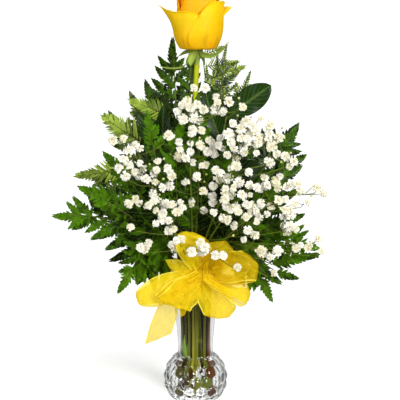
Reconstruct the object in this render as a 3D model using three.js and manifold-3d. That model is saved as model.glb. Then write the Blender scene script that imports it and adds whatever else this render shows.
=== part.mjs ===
// A yellow rose with leatherleaf fern, glossy leaves and gypsophila in a hobnail glass bud vase,
// tied with a ribbon bow. Millimetres, +Z up, the front faces -Y, the origin is under the vase.
import * as THREE from "three";
import { mergeVertices } from "three/addons/utils/BufferGeometryUtils.js";
import Module from "manifold-3d";

const wasm = await Module();
wasm.setup();

// Vase
const BALL_RADIUS = 34;
const BALL_CENTRE_Z = 22.6;
const NOB_HEIGHT = 2;
const NOBS_AROUND = 16;
const NOB_ROWS = 5;
const WALL = 3;
const FLOOR_Z = 8;
const INNER_BALL_RADIUS = 28.5;
const INNER_BALL_Z = 24;
const NECK = [[53, 20], [62, 19.6], [105, 23], [161, 28.2]];
const RIM_Z = 163;
const RIM_ROUNDING = 0.9;
const INSIDE_SIDES = 18;
// Water
const WATER_Z = 44;
const CLEAR = 0.3;
const STEM_PLAY = 0.4;
const HOLE_SIDES = 5;
// Stems and the planes in which the foliage lies
const STEM_FOOT_Z = 10;
const NECK_Z = 58;
const MOUTH_Z = 160;
const FOOT_SPREAD = 1.3;
const MOUTH_SPREAD = 1.4;
const LEAF_RIB = 0.65;
const SLIVER = 0.12;

// One seeded run of numbers for each plant, so that every build gives the same arrangement.
function seeded(seed) {
  let state = seed;
  return function next() {
    state = (state + 0x6d2b79f5) | 0;
    let t = Math.imul(state ^ (state >>> 15), 1 | state);
    t = (t + Math.imul(t ^ (t >>> 7), 61 | t)) ^ t;
    return ((t ^ (t >>> 14)) >>> 0) / 4294967296;
  };
}

const vec = (x, y, z) => new THREE.Vector3(x, y, z);
const mix = (a, b, t) => a + (b - a) * t;
const clamp = (value, low, high) => Math.min(Math.max(value, low), high);

// Solids

function solid(points, triangles) {
  const vertProperties = new Float32Array(points.flatMap((p) => [p.x, p.y, p.z]));
  const triVerts = new Uint32Array(triangles.flat());
  const made = new wasm.Manifold(new wasm.Mesh({ numProp: 3, vertProperties, triVerts }));
  return made.volume() < 0 ? solid(points, triangles.map(([a, b, c]) => [a, c, b])) : made;
}

// Joins solids into one, fills what they seal in, and smooths away what is thinner than a sliver.
function fuse(solids) {
  const shells = wasm.Manifold.union(solids).simplify(SLIVER).decompose();
  return wasm.Manifold.union(shells.filter((shell) => shell.volume() > 0));
}

function bezier(a, b, c, t) {
  const u = 1 - t;
  return a.clone().multiplyScalar(u * u)
    .addScaledVector(b, 2 * u * t)
    .addScaledVector(c, t * t);
}

// A round rod through points, with a radius for each of them.
function rod(points, radii, sides) {
  const verts = [];
  const tris = [];
  let across = null;
  points.forEach((p, i) => {
    const ahead = points[Math.min(i + 1, points.length - 1)];
    const along = ahead.clone().sub(points[Math.max(i - 1, 0)]).normalize();
    if (!across) across = Math.abs(along.y) < 0.9 ? vec(0, 1, 0) : vec(1, 0, 0);
    across = across.clone().addScaledVector(along, -across.dot(along)).normalize();
    const up = along.clone().cross(across);
    for (let k = 0; k < sides; k++) {
      const a = (2 * Math.PI * k) / sides;
      verts.push(p.clone()
        .addScaledVector(across, radii[i] * Math.cos(a))
        .addScaledVector(up, radii[i] * Math.sin(a)));
    }
  });
  for (let i = 0; i + 1 < points.length; i++) {
    for (let k = 0; k < sides; k++) {
      const a = i * sides + k;
      const b = i * sides + ((k + 1) % sides);
      tris.push([a, b, b + sides], [a, b + sides, a + sides]);
    }
  }
  const last = (points.length - 1) * sides;
  for (let k = 1; k + 1 < sides; k++) {
    tris.push([0, k + 1, k], [last, last + k, last + k + 1]);
  }
  return solid(verts, tris);
}

// A closed skin round an upright axis at `x`: each ring has its height `z` and its radius at step k round
// the axis, and the skin closes on the axis at both ends.
function turned(rings, around, x = 0) {
  const verts = [];
  const tris = [];
  for (const { z, radius } of rings) {
    for (let k = 0; k < around; k++) {
      const a = (2 * Math.PI * k) / around;
      verts.push(vec(x + radius(k) * Math.cos(a), radius(k) * Math.sin(a), z));
    }
  }
  for (let i = 0; i + 1 < rings.length; i++) {
    for (let k = 0; k < around; k++) {
      const a = i * around + k;
      const b = i * around + ((k + 1) % around);
      tris.push([a, b, b + around], [a, b + around, a + around]);
    }
  }
  const foot = verts.push(vec(x, 0, rings[0].z)) - 1;
  const head = verts.push(vec(x, 0, rings[rings.length - 1].z)) - 1;
  const last = (rings.length - 1) * around;
  for (let k = 0; k < around; k++) {
    const next = (k + 1) % around;
    tris.push([foot, next, k], [head, last + k, last + next]);
  }
  return solid(verts, tris);
}

// A band through cross-sections of four corners.
function band(sections) {
  const tris = [];
  for (let i = 0; i + 1 < sections.length; i++) {
    for (let k = 0; k < 4; k++) {
      const a = 4 * i + k;
      const b = 4 * i + ((k + 1) % 4);
      tris.push([a, b, b + 4], [a, b + 4, a + 4]);
    }
  }
  const last = 4 * (sections.length - 1);
  tris.push([0, 2, 1], [0, 3, 2], [last, last + 1, last + 2], [last, last + 2, last + 3]);
  return solid(sections.flat(), tris);
}

// A curved sheet over a grid of points; `thickness` may change from its foot to its rim.
function sheet(at, columns, rows, thickness) {
  const verts = [];
  const tris = [];
  const step = 1e-3;
  for (const side of [-0.5, 0.5]) {
    for (let j = 0; j <= rows; j++) {
      for (let i = 0; i <= columns; i++) {
        const s = i / columns;
        const t = j / rows;
        const du = at(s + step, t).sub(at(s - step, t));
        const dv = at(s, t + step).sub(at(s, t - step));
        verts.push(at(s, t).addScaledVector(du.cross(dv).normalize(), side * thickness(t)));
      }
    }
  }
  const wide = columns + 1;
  const upper = wide * (rows + 1);
  for (let j = 0; j < rows; j++) {
    for (let i = 0; i < columns; i++) {
      const a = j * wide + i;
      const corners = [a, a + 1, a + 1 + wide, a + wide];
      const top = corners.map((c) => c + upper);
      tris.push([corners[0], corners[2], corners[1]], [corners[0], corners[3], corners[2]]);
      tris.push([top[0], top[1], top[2]], [top[0], top[2], top[3]]);
    }
  }
  const rim = [];
  for (let i = 0; i < columns; i++) rim.push(i);
  for (let j = 0; j < rows; j++) rim.push(j * wide + columns);
  for (let i = columns; i > 0; i--) rim.push(rows * wide + i);
  for (let j = rows; j > 0; j--) rim.push(j * wide);
  rim.forEach((a, k) => {
    const b = rim[(k + 1) % rim.length];
    tris.push([a, b, b + upper], [a, b + upper, a + upper]);
  });
  return solid(verts, tris);
}

// Vase and water

function neckRadius(z) {
  const i = clamp(NECK.findIndex(([height]) => height >= z), 1, NECK.length - 1);
  const [z0, r0] = NECK[i - 1];
  const [z1, r1] = NECK[i];
  return mix(r0, r1, (z - z0) / (z1 - z0));
}

const ballRadius = (z, radius, centre) => Math.sqrt(radius * radius - (z - centre) * (z - centre));

function vase() {
  const around = 2 * NOBS_AROUND;
  const rows = 2 * NOB_ROWS;
  const low = Math.asin(BALL_CENTRE_Z / BALL_RADIUS);
  const high = Math.acos(NECK[0][1] / BALL_RADIUS);
  const outer = [];
  for (let j = 0; j <= rows; j++) {
    const a = mix(-low, high, j / rows);
    const z = BALL_CENTRE_Z + BALL_RADIUS * Math.sin(a);
    const plain = BALL_RADIUS * Math.cos(a);
    const crest = j % 2 ? NOB_HEIGHT : 0;
    outer.push({ z: Math.max(z, 0), radius: (k) => plain + ((k + (j - 1) / 2) % 2 ? 0 : crest) });
  }
  outer[0].z = 0;
  for (const [z, r] of NECK.slice(1)) outer.push({ z, radius: () => r });
  outer.push({ z: RIM_Z, radius: () => NECK[NECK.length - 1][1] - RIM_ROUNDING });
  const inner = [];
  for (const z of [FLOOR_Z, 17, 31, 44]) {
    inner.push({ z, radius: () => ballRadius(z, INNER_BALL_RADIUS, INNER_BALL_Z) });
  }
  for (const [z, r] of NECK) inner.push({ z, radius: () => r - WALL });
  inner.push({ z: RIM_Z + 1, radius: () => NECK[NECK.length - 1][1] - WALL });
  return turned(outer, around).subtract(turned(inner, INSIDE_SIDES));
}

function water(stems) {
  const rings = [FLOOR_Z + CLEAR, 17, 31, WATER_Z].map((z) => ({
    z,
    radius: () => ballRadius(z, INNER_BALL_RADIUS, INNER_BALL_Z) - 2 * CLEAR,
  }));
  const holes = stems.map(({ neck: [x, y], radius, foot }) => {
    const [fx, fy] = foot ?? [FOOT_SPREAD * x, FOOT_SPREAD * y];
    const way = vec(x - fx, y - fy, NECK_Z - STEM_FOOT_Z).normalize();
    const bottom = vec(fx, fy, STEM_FOOT_Z).addScaledVector(way, -CLEAR);
    const bore = (radius + STEM_PLAY) / Math.cos(Math.PI / HOLE_SIDES);
    return rod([bottom, vec(x, y, NECK_Z)], [bore, bore], HOLE_SIDES);
  });
  return turned(rings, INSIDE_SIDES).subtract(wasm.Manifold.union(holes));
}

// How a plant's flat layout in X and Z is placed in depth: each plant keeps to a plane of its own,
// which leans further from the middle the further it is from the mouth.
function depth(plant, x, z) {
  const reach = Math.hypot(x, z - MOUTH_Z);
  const sway = 3 * Math.sin(x / 24 + 0.7) * Math.cos(z / 33) * clamp((Math.abs(x) - 25) / 60, 0, 1);
  return MOUTH_SPREAD * plant.neck[1] + plant.lean * reach + sway;
}

const place = (plant, x, z, off = 0) => vec(x, depth(plant, x, z) + off, z);

// The points of a stem from its foot in the water to the mouth of the vase.
function stemInVase({ neck: [x, y], foot, mouth }) {
  const [fx, fy] = foot ?? [FOOT_SPREAD * x, FOOT_SPREAD * y];
  const [mx, my] = mouth ?? [MOUTH_SPREAD * x, MOUTH_SPREAD * y];
  return [vec(fx, fy, STEM_FOOT_Z), vec(x, y, NECK_Z), vec(mx, my, MOUTH_Z)];
}

// The curve above the mouth, flat in X and Z: from the mouth over `bend` to `tip`.
function curveAbove(plant) {
  const start = vec(MOUTH_SPREAD * plant.neck[0], 0, MOUTH_Z);
  const bend = vec(plant.bend[0], 0, plant.bend[1]);
  const tip = vec(plant.tip[0], 0, plant.tip[1]);
  return (t) => bezier(start, bend, tip, t);
}

function wholeStem(plant, curve, end, steps, sides) {
  const points = stemInVase(plant);
  const radii = points.map(() => plant.radius);
  for (let i = 1; i <= steps; i++) {
    const t = (end * i) / steps;
    const p = curve(t);
    points.push(place(plant, p.x, p.z));
    radii.push(mix(plant.radius, plant.radius * 0.45, t));
  }
  return rod(points, radii, sides);
}

// Fern

// A cut blade in lens form: `leaflets` pointed lobes on each side of a rib from `base` to `tip`.
function cutBlade(plant, base, tip, width, leaflets) {
  const along = tip.clone().sub(base);
  const length = along.length();
  along.normalize();
  const side = vec(along.z, 0, -along.x);
  const verts = [];
  const tris = [];
  const put = (u, v, off) => {
    const p = base.clone().addScaledVector(along, u).addScaledVector(side, v);
    return verts.push(place(plant, p.x, p.z, off)) - 1;
  };
  const pitch = length / (leaflets + 0.6);
  const foot = put(0, 0, 0);
  const ribs = [];
  for (let i = 1; i <= leaflets; i++) {
    const u = pitch * (i - 0.35);
    const thick = LEAF_RIB * mix(1, 0.7, i / leaflets);
    ribs.push([put(u, 0, thick), put(u, 0, -thick)]);
  }
  const end = put(length, 0, 0);
  for (const hand of [1, -1]) {
    let notch = foot;
    for (let i = 1; i <= leaflets; i++) {
      const share = (i - 0.5) / leaflets;
      const reach = width * Math.min(1, 0.75 + share) * (1 - share) ** 0.75;
      const lobe = put(pitch * i + 0.55 * reach, hand * reach, 0);
      const next = i < leaflets ? put(pitch * (i + 0.3), hand * reach * 0.3, 0) : end;
      for (const face of [0, 1]) {
        const rib = ribs[i - 1][face];
        const turn = (hand > 0) === (face === 0);
        const add = (a, b, c) => tris.push(turn ? [a, b, c] : [a, c, b]);
        add(notch, lobe, rib);
        add(lobe, next, rib);
        if (i < leaflets) add(next, ribs[i][face], rib);
      }
      notch = next;
    }
  }
  return solid(verts, tris);
}

function frond(plant) {
  const curve = curveAbove(plant);
  const parts = [wholeStem(plant, curve, 0.84, 5, 4)];
  const random = seeded(plant.seed);
  for (let j = 0; j < plant.pairs; j++) {
    const share = j / plant.pairs;
    for (const hand of [1, -1]) {
      const t = mix(plant.bare, 0.86, share) + (hand > 0 ? 0.02 : -0.01);
      const base = curve(t);
      const way = curve(t + 0.02).sub(base).normalize();
      const side = vec(way.z, 0, -way.x);
      const longest = hand > 0 ? plant.right : plant.left;
      const length = longest * mix(1, 0.42, share ** 0.9) * mix(0.92, 1.08, random());
      const angle = THREE.MathUtils.degToRad(mix(58, 38, share) + mix(-5, 5, random()));
      const tip = base.clone()
        .addScaledVector(way, length * Math.cos(angle))
        .addScaledVector(side, hand * length * Math.sin(angle));
      const leaflets = clamp(Math.round(length / 12), 3, 4);
      parts.push(cutBlade(plant, base, tip, clamp(length * 0.33, 9, 16), leaflets));
    }
  }
  parts.push(cutBlade(plant, curve(0.8), curve(1), 12, 4));
  return fuse(parts);
}

const DARK_FERN = 0x24541a;
const LIGHT_FERN = 0x86a437;
const FRONDS = {
  fern_left_low: {
    neck: [-13.2, -5.6], lean: -0.13, bend: [-40, 209], tip: [-86, 124],
    bare: 0.36, pairs: 3, left: 52, right: 40, colour: DARK_FERN,
  },
  fern_right_low: {
    neck: [13.2, -5.6], lean: -0.13, bend: [40, 209], tip: [84, 113],
    bare: 0.36, pairs: 3, left: 40, right: 52, colour: DARK_FERN,
  },
  fern_left_side: {
    neck: [-9.6, -2.2], lean: -0.03, bend: [-70, 214], tip: [-157, 209],
    bare: 0.26, pairs: 4, left: 56, right: 54, colour: DARK_FERN,
  },
  fern_right_side: {
    neck: [10.2, -2.6], lean: -0.03, bend: [60, 200], tip: [138, 170],
    bare: 0.26, pairs: 4, left: 54, right: 44, colour: DARK_FERN,
  },
  fern_left_middle: {
    neck: [-8, 5.6], lean: 0.12, bend: [-50, 235], tip: [-128, 252],
    bare: 0.26, pairs: 4, left: 56, right: 56, colour: LIGHT_FERN,
  },
  fern_right_middle: {
    neck: [8, 5.8], lean: 0.12, bend: [50, 245], tip: [115, 306],
    bare: 0.26, pairs: 4, left: 56, right: 66, colour: DARK_FERN,
  },
  fern_left_upper: {
    neck: [-3.6, 8.6], lean: 0.2, bend: [-45, 250], tip: [-98, 318],
    bare: 0.28, pairs: 4, left: 58, right: 62, colour: LIGHT_FERN,
  },
  fern_left_tall: {
    neck: [-1, 12.4], lean: 0.27, bend: [-25, 300], tip: [-25, 399],
    bare: 0.36, pairs: 4, left: 66, right: 42, colour: DARK_FERN,
  },
  fern_right_tall: {
    neck: [4.6, 10], lean: 0.2, bend: [22, 300], tip: [36, 394],
    bare: 0.36, pairs: 4, left: 42, right: 58, colour: LIGHT_FERN,
  },
  fern_back: {
    neck: [3.6, 14], lean: 0.47, bend: [10, 270], tip: [20, 330],
    bare: 0.26, pairs: 4, left: 62, right: 62, colour: DARK_FERN,
  },
};

// Glossy leaves

// A smooth leaf in lens form from `base` to `tip`, widest below its middle.
function plainLeaf(plant, base, tip, width, cup) {
  const along = tip.clone().sub(base);
  const length = along.length();
  along.normalize();
  const side = vec(along.z, 0, -along.x);
  const verts = [];
  const tris = [];
  const steps = 7;
  const put = (u, v, off) => {
    const p = base.clone().addScaledVector(along, u * length).addScaledVector(side, v);
    return verts.push(place(plant, p.x, p.z, off)) - 1;
  };
  const foot = put(0, 0, 0);
  const rows = [];
  for (let i = 1; i < steps; i++) {
    const u = i / steps;
    const half = 0.5 * width * Math.sin(Math.PI * u ** 0.8) ** 0.85;
    const lift = -cup * (half / width);
    rows.push([put(u, half, lift), put(u, 0, LEAF_RIB), put(u, -half, lift), put(u, 0, -LEAF_RIB)]);
  }
  const end = put(1, 0, 0);
  for (let k = 0; k < 4; k++) {
    const n = (k + 1) % 4;
    tris.push([foot, rows[0][k], rows[0][n]], [end, rows[steps - 2][n], rows[steps - 2][k]]);
    for (let i = 0; i + 1 < rows.length; i++) {
      tris.push([rows[i][k], rows[i + 1][k], rows[i + 1][n]]);
      tris.push([rows[i][k], rows[i + 1][n], rows[i][n]]);
    }
  }
  return solid(verts, tris);
}

function leafSprig(plant) {
  const curve = curveAbove(plant);
  const parts = [wholeStem(plant, curve, 1, 5, 5)];
  for (const { from, tip, width } of plant.leaves) {
    const base = curve(from);
    parts.push(plainLeaf(plant, base, vec(tip[0], 0, tip[1]), width, 3));
  }
  return fuse(parts);
}

const GLOSSY = 0x1f3f1c;
const SPRIGS = {
  leaves_right: {
    neck: [11.6, 2.2], lean: 0.045, bend: [20, 250], tip: [34, 316], colour: GLOSSY,
    leaves: [
      { from: 0.97, tip: [82, 349], width: 29 },
      { from: 0.8, tip: [10, 350], width: 20 },
      { from: 0.5, tip: [76, 262], width: 26 },
      { from: 0.3, tip: [66, 214], width: 24 },
    ],
  },
  leaves_left: {
    neck: [-11.6, 2], lean: 0.045, bend: [-28, 240], tip: [-36, 284], colour: GLOSSY,
    leaves: [
      { from: 0.97, tip: [-62, 318], width: 25 },
      { from: 0.72, tip: [-14, 306], width: 20 },
      { from: 0.45, tip: [-76, 250], width: 26 },
      { from: 0.25, tip: [-66, 205], width: 24 },
    ],
  },
};

// Gypsophila

// A five-lobed floret on a three-sided twig from `root` to `under`.
function floretOnTwig(root, under, facing, size) {
  const centre = under.clone().addScaledVector(facing, size * 0.26);
  const across = vec(0, 0, 1).cross(facing).normalize();
  const up = facing.clone().cross(across);
  const lobes = 5;
  const around = (angle, radius, from) => from.clone()
    .addScaledVector(across, radius * Math.cos(angle))
    .addScaledVector(up, radius * Math.sin(angle));
  const verts = [];
  const tris = [];
  for (let k = 0; k < 2 * lobes; k++) {
    verts.push(around((Math.PI * k) / lobes, size * (k % 2 ? 0.34 : 0.52), centre));
  }
  const crown = verts.push(centre.clone().addScaledVector(facing, size * 0.3)) - 1;
  for (const [p, radius] of [[under, 0.55], [root, 0.5]]) {
    for (let k = 0; k < 3; k++) verts.push(around((2 * Math.PI * k) / 3, radius, p));
  }
  const neck = crown + 1;
  const foot = crown + 4;
  const nearest = (k) => Math.round((3 * k) / (2 * lobes)) % 3;
  for (let k = 0; k < 2 * lobes; k++) {
    const next = (k + 1) % (2 * lobes);
    tris.push([crown, k, next], [neck + nearest(k), next, k]);
    if (nearest(k) !== nearest(next)) tris.push([neck + nearest(k), neck + nearest(next), next]);
  }
  for (let k = 0; k < 3; k++) {
    const next = (k + 1) % 3;
    tris.push([neck + k, foot + k, foot + next], [neck + k, foot + next, neck + next]);
  }
  tris.push([foot, foot + 2, foot + 1]);
  return solid(verts, tris);
}

function spray(plant) {
  const curve = curveAbove(plant);
  const random = seeded(plant.seed);
  const parts = [wholeStem(plant, curve, mix(plant.bare, 1, 1 - 0.4 / plant.twigs), 4, 4)];
  const bloomAt = (root, p, way) => {
    const facing = vec(way.x * 0.5 + mix(-0.5, 0.5, random()), plant.facing, way.z * 0.5 + 0.2);
    parts.push(floretOnTwig(root, p, facing.normalize(), mix(6.8, 9.6, random())));
  };
  for (let i = 0; i < plant.twigs; i++) {
    const share = (i + 0.5) / plant.twigs;
    const t = mix(plant.bare, 1, share);
    const root = curve(t);
    const way = curve(t + 0.02).sub(curve(t - 0.02)).normalize();
    const side = vec(way.z, 0, -way.x);
    const hand = i % 2 ? 1 : -1;
    const angle = THREE.MathUtils.degToRad(mix(20, 75, random()) * mix(1, 0.5, share));
    const length = plant.spread * mix(0.55, 1, random());
    const thick = plant.thick * clamp(t, 0.2, 1);
    const out = vec(0, 0, 0)
      .addScaledVector(way, Math.cos(angle))
      .addScaledVector(side, hand * Math.sin(angle));
    const far = root.clone().addScaledVector(out, length);
    const near = root.clone()
      .addScaledVector(out, length * 0.5)
      .addScaledVector(way, length * mix(0.25, 0.5, random()))
      .addScaledVector(side, -hand * length * mix(0.15, 0.4, random()));
    const rootAt = place(plant, root.x, root.z);
    const farAt = place(plant, far.x, far.z, thick * mix(-1, 1, random()));
    const nearAt = place(plant, near.x, near.z, thick * mix(-1, 1, random()));
    bloomAt(rootAt, farAt, out);
    bloomAt(rootAt.clone().lerp(farAt, 0.3), nearAt, out);
  }
  return fuse(parts);
}

const SPRAYS = {
  gypsophila_left: {
    neck: [-6.4, -11.6], lean: -0.25, bend: [-36, 240], tip: [-70, 292],
    bare: 0.34, twigs: 5, spread: 30, thick: 6, facing: -1,
  },
  gypsophila_left_low: {
    neck: [-2.2, -14.6], lean: -0.42, bend: [-26, 215], tip: [-58, 232],
    bare: 0.4, twigs: 3, spread: 22, thick: 5, facing: -1,
  },
  gypsophila_centre: {
    neck: [-1.6, -10], lean: -0.15, bend: [-6, 260], tip: [-6, 336],
    bare: 0.34, twigs: 6, spread: 28, thick: 5, facing: -1,
  },
  gypsophila_right: {
    neck: [3, -11.8], lean: -0.27, bend: [24, 230], tip: [52, 292],
    bare: 0.3, twigs: 6, spread: 30, thick: 6, facing: -1,
  },
  gypsophila_right_front: {
    neck: [3.2, -14.2], lean: -0.44, bend: [26, 214], tip: [52, 244],
    bare: 0.35, twigs: 4, spread: 24, thick: 6, facing: -1,
  },
  gypsophila_right_out: {
    neck: [7.2, -11.2], lean: -0.2, bend: [56, 225], tip: [114, 240],
    bare: 0.3, twigs: 6, spread: 30, thick: 5, facing: -1,
  },
  gypsophila_back_left: {
    neck: [-9.4, 10.6], lean: 0.34, bend: [-26, 240], tip: [-40, 300],
    bare: 0.34, twigs: 4, spread: 28, thick: 6, facing: 1,
  },
  gypsophila_back_right: {
    neck: [9.8, 11], lean: 0.34, bend: [40, 225], tip: [84, 262],
    bare: 0.34, twigs: 4, spread: 28, thick: 6, facing: 1,
  },
};

// Rose

const ROSE_X = 1.8;
const ROSE_BASE_Z = 389;
const PETAL_FOOT = 2;

// A petal that wraps the bud: it spans the angle `spread` about `turn`, `radius` out, and above the
// share `from` of its height it bends outwards, by `curl` at its rim. Its middle is `tip` higher than
// its shoulders.
function petal({ turn, spread, radius, top, curl, from = 0.62, tip = 0, columns = 5 }) {
  const height = top - ROSE_BASE_Z - PETAL_FOOT;
  const middle = THREE.MathUtils.degToRad(turn);
  const half = THREE.MathUtils.degToRad(spread / 2);
  return sheet((s, t) => {
    const across = 2 * s - 1;
    const narrow = 0.62 + 0.38 * Math.sin(Math.PI * Math.min(0.15 + 0.85 * t, 1) ** 0.8);
    const a = middle + across * half * narrow;
    const belly = 0.45 + 0.55 * Math.sin(Math.PI * clamp(0.1 + 0.72 * t, 0, 1)) ** 0.7;
    const r = radius * belly + curl * (Math.max(t - from, 0) / (1 - from)) ** 1.6;
    const drop = across * across * t * (5 + tip) - tip * t * t * (1 - Math.abs(across));
    const z = ROSE_BASE_Z + PETAL_FOOT + height * t - drop;
    return vec(ROSE_X + r * Math.cos(a), r * Math.sin(a), z);
  }, columns, 3, (t) => mix(7, 1, Math.min(1, 1.4 * t)));
}

function roseCore() {
  const rings = [[0, 7], [6, 14], [16, 17.5], [30, 17], [44, 14], [54, 10], [60, 5.5]];
  return turned(rings.map(([z, r]) => ({ z: ROSE_BASE_Z + z, radius: () => r })), 14, ROSE_X);
}

const PETALS = [
  { turn: -150, spread: 150, radius: 17, top: 452, curl: 0, columns: 4 },
  { turn: -30, spread: 150, radius: 17.6, top: 453, curl: 0, columns: 4 },
  { turn: 90, spread: 150, radius: 17.3, top: 452, curl: 0, columns: 4 },
  { turn: -85, spread: 140, radius: 20, top: 447, curl: 2 },
  { turn: 40, spread: 140, radius: 20.4, top: 449, curl: 2 },
  { turn: 155, spread: 140, radius: 20.6, top: 448, curl: 3 },
  { turn: 95, spread: 125, radius: 23, top: 444, curl: 6 },
  { turn: -118, spread: 130, radius: 23.4, top: 436, curl: 2 },
  { turn: 182, spread: 122, radius: 24.2, top: 433, curl: 15, from: 0.4, tip: 4 },
  { turn: 12, spread: 112, radius: 24.2, top: 431, curl: 15, tip: 3 },
  { turn: -62, spread: 120, radius: 25.2, top: 442, curl: 2, tip: 3 },
];

const roseBloom = () => fuse([roseCore(), ...PETALS.map(petal)]);

const ROSE = { neck: [5, 0.4], foot: [11, 1.2], mouth: [0.6, -0.6], radius: 2.8 };

const SEPALS = [
  { way: -112, reach: 10, fall: 16, half: 4 },
  { way: -165, reach: 26, fall: 13, half: 2.6 },
  { way: -20, reach: 27, fall: -3, half: 3 },
  { way: 40, reach: 14, fall: 14, half: 3 },
  { way: 120, reach: 14, fall: 12, half: 3 },
];

function roseStem() {
  const low = ROSE_BASE_Z - CLEAR;
  const stem = [
    ...stemInVase(ROSE), vec(-0.5, 0, 230), vec(-0.8, 0, 300), vec(0.6, 0, 350), vec(1.6, 0, low - 14),
  ];
  const swelling = [[low - 9, 4.6], [low - 3, 6.4], [low, 6]];
  const points = [...stem, ...swelling.map(([z]) => vec(ROSE_X, 0, z))];
  const radii = [...stem.map(() => ROSE.radius), ...swelling.map(([, radius]) => radius)];
  const parts = [rod(points, radii, 7)];
  for (const { way, reach, fall, half } of SEPALS) {
    const a = THREE.MathUtils.degToRad(way);
    parts.push(sheet((s, t) => {
      const r = 3.5 + reach * Math.sin(0.5 * Math.PI * Math.min(t, 1));
      const wide = (s - 0.5) * 2 * half * (1 - 0.85 * t) * (0.7 + t);
      const z = low - 4.5 - fall * t * t + 1.2 * Math.sin(Math.PI * t);
      return vec(
        ROSE_X + r * Math.cos(a) - wide * Math.sin(a),
        r * Math.sin(a) + wide * Math.cos(a),
        z,
      );
    }, 2, 5, () => 0.8));
  }
  return fuse(parts);
}

// Bow

const KNOT = vec(8, -34, 148);
const KNOT_SIZE = [9, 6.5, 8.5];
const RIBBON = 35;
const RIBBON_THICK = 1;
const BAND_HALF = 6;

// A strip of ribbon along a smooth path: `widths` and `lies`, the way its width runs, go with the points.
function strip({ path, widths, lies }) {
  const curve = new THREE.CatmullRomCurve3(path, false, "centripetal");
  const steps = 2 * (path.length - 1);
  const sections = [];
  for (let i = 0; i <= steps; i++) {
    const t = i / steps;
    const at = t * (path.length - 1);
    const k = Math.min(Math.floor(at), path.length - 2);
    const p = curve.getPoint(t);
    const along = curve.getTangent(t);
    const half = 0.5 * RIBBON * mix(widths[k], widths[k + 1], at - k);
    const across = lies[k].clone().lerp(lies[k + 1], at - k);
    across.addScaledVector(along, -across.dot(along)).normalize();
    const thick = along.clone().cross(across).multiplyScalar(0.5 * RIBBON_THICK);
    const left = p.clone().addScaledVector(across, -half);
    const right = p.clone().addScaledVector(across, half);
    sections.push([
      left.clone().sub(thick), right.clone().sub(thick),
      right.clone().add(thick), left.clone().add(thick),
    ]);
  }
  return band(sections);
}

// A loop that leaves the knot at `angle` in the front view, reaches `length` out while it leans
// forward by `lean`, opens by `puff`, and comes back in front of itself.
function loop({ angle, length, lean, puff, start, wide = 0.95 }) {
  const a = THREE.MathUtils.degToRad(angle);
  const out = vec(Math.cos(a), 0, Math.sin(a));
  const across = vec(-Math.sin(a), 0, Math.cos(a));
  const at = (u, forward) => KNOT.clone().addScaledVector(out, u)
    .add(vec(0, start - lean * u - forward, 0));
  return {
    path: [
      at(4, 0), at(0.5 * length, 0), at(0.95 * length, 0.2 * puff),
      at(0.93 * length, 0.85 * puff), at(0.45 * length, puff), at(4, 1.5),
    ],
    widths: [0.25, 0.8, wide, wide, 0.8, 0.25],
    lies: Array(6).fill(across),
  };
}

const LOOPS = [
  { angle: 107, length: 50, lean: 0.2, puff: 11, start: 3 },
  { angle: 62, length: 45, lean: 0.32, puff: 12, start: 1 },
  { angle: 13, length: 58, lean: 0.2, puff: 14, start: 1.5 },
  { angle: -19, length: 57, lean: 0.52, puff: 10, start: -2, wide: 0.8 },
  { angle: -62, length: 42, lean: 0.62, puff: 12, start: -1, wide: 0.8 },
  { angle: -121, length: 32, lean: 0.62, puff: 11, start: -1, wide: 0.8 },
  { angle: 194, length: 70, lean: 0.18, puff: 13, start: 0 },
];

const TAILS = [
  {
    path: [[-4, 2.5, -3], [-15, -2, -17], [-27, -5, -33], [-39, -6, -50], [-48, -6, -65]],
    lies: [[0.7, -0.2, 0.6], [0.8, -0.2, 0.5], [0.85, -0.15, 0.5], [0.87, 0, 0.45], [0.8, 0, 0.6]],
    widths: [0.25, 0.6, 0.85, 0.95, 0.95],
  },
  {
    path: [[-1, 1.5, -5], [-10, -3, -18], [-18, -5, -32], [-23, -5, -44]],
    lies: [[0.8, 0.3, 0.3], [0.9, 0.3, 0.3], [0.95, 0.3, 0.2], [0.9, 0.2, 0.5]],
    widths: [0.2, 0.35, 0.4, 0.3],
  },
];

function neckBand() {
  const rings = (extra, reach) => [-reach, 0, reach].map((off) => {
    const r = neckRadius(KNOT.z + off) + extra;
    return { z: KNOT.z + off, radius: () => r };
  });
  return turned(rings(2, BAND_HALF), 20).subtract(turned(rings(0.8, BAND_HALF + 0.5), 20));
}

// The gathered ribbon of the knot, as one rounded lump.
function knot() {
  const ball = new THREE.SphereGeometry(1, 8, 5);
  ball.deleteAttribute("normal");
  ball.deleteAttribute("uv");
  ball.scale(...KNOT_SIZE);
  ball.translate(KNOT.x, KNOT.y + 1, KNOT.z);
  const { attributes, index } = mergeVertices(ball);
  const verts = Array.from({ length: attributes.position.count }, (_, i) => vec(0, 0, 0)
    .fromBufferAttribute(attributes.position, i));
  const tris = Array.from({ length: index.count / 3 }, (_, i) => [0, 1, 2].map((k) => index.getX(3 * i + k)));
  return solid(verts, tris);
}

function bow() {
  const tails = TAILS.map(({ path, lies, widths }) => ({
    path: path.map((p) => KNOT.clone().add(vec(...p))),
    lies: lies.map((v) => vec(...v)),
    widths,
  }));
  return fuse([neckBand(), knot(), ...LOOPS.map((one) => strip(loop(one))), ...tails.map(strip)]);
}

// The arrangement

const bouquet = new THREE.Group();

function add(name, body, colour, roughness, opacity = 1) {
  const { vertProperties, triVerts } = body.getMesh();
  const geometry = new THREE.BufferGeometry();
  geometry.setAttribute("position", new THREE.BufferAttribute(vertProperties, 3));
  geometry.setIndex(new THREE.BufferAttribute(triVerts, 1));
  const material = new THREE.MeshStandardMaterial({
    color: colour, roughness, metalness: 0, opacity, transparent: opacity < 1,
  });
  const mesh = new THREE.Mesh(geometry, material);
  mesh.name = name;
  bouquet.add(mesh);
}

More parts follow.
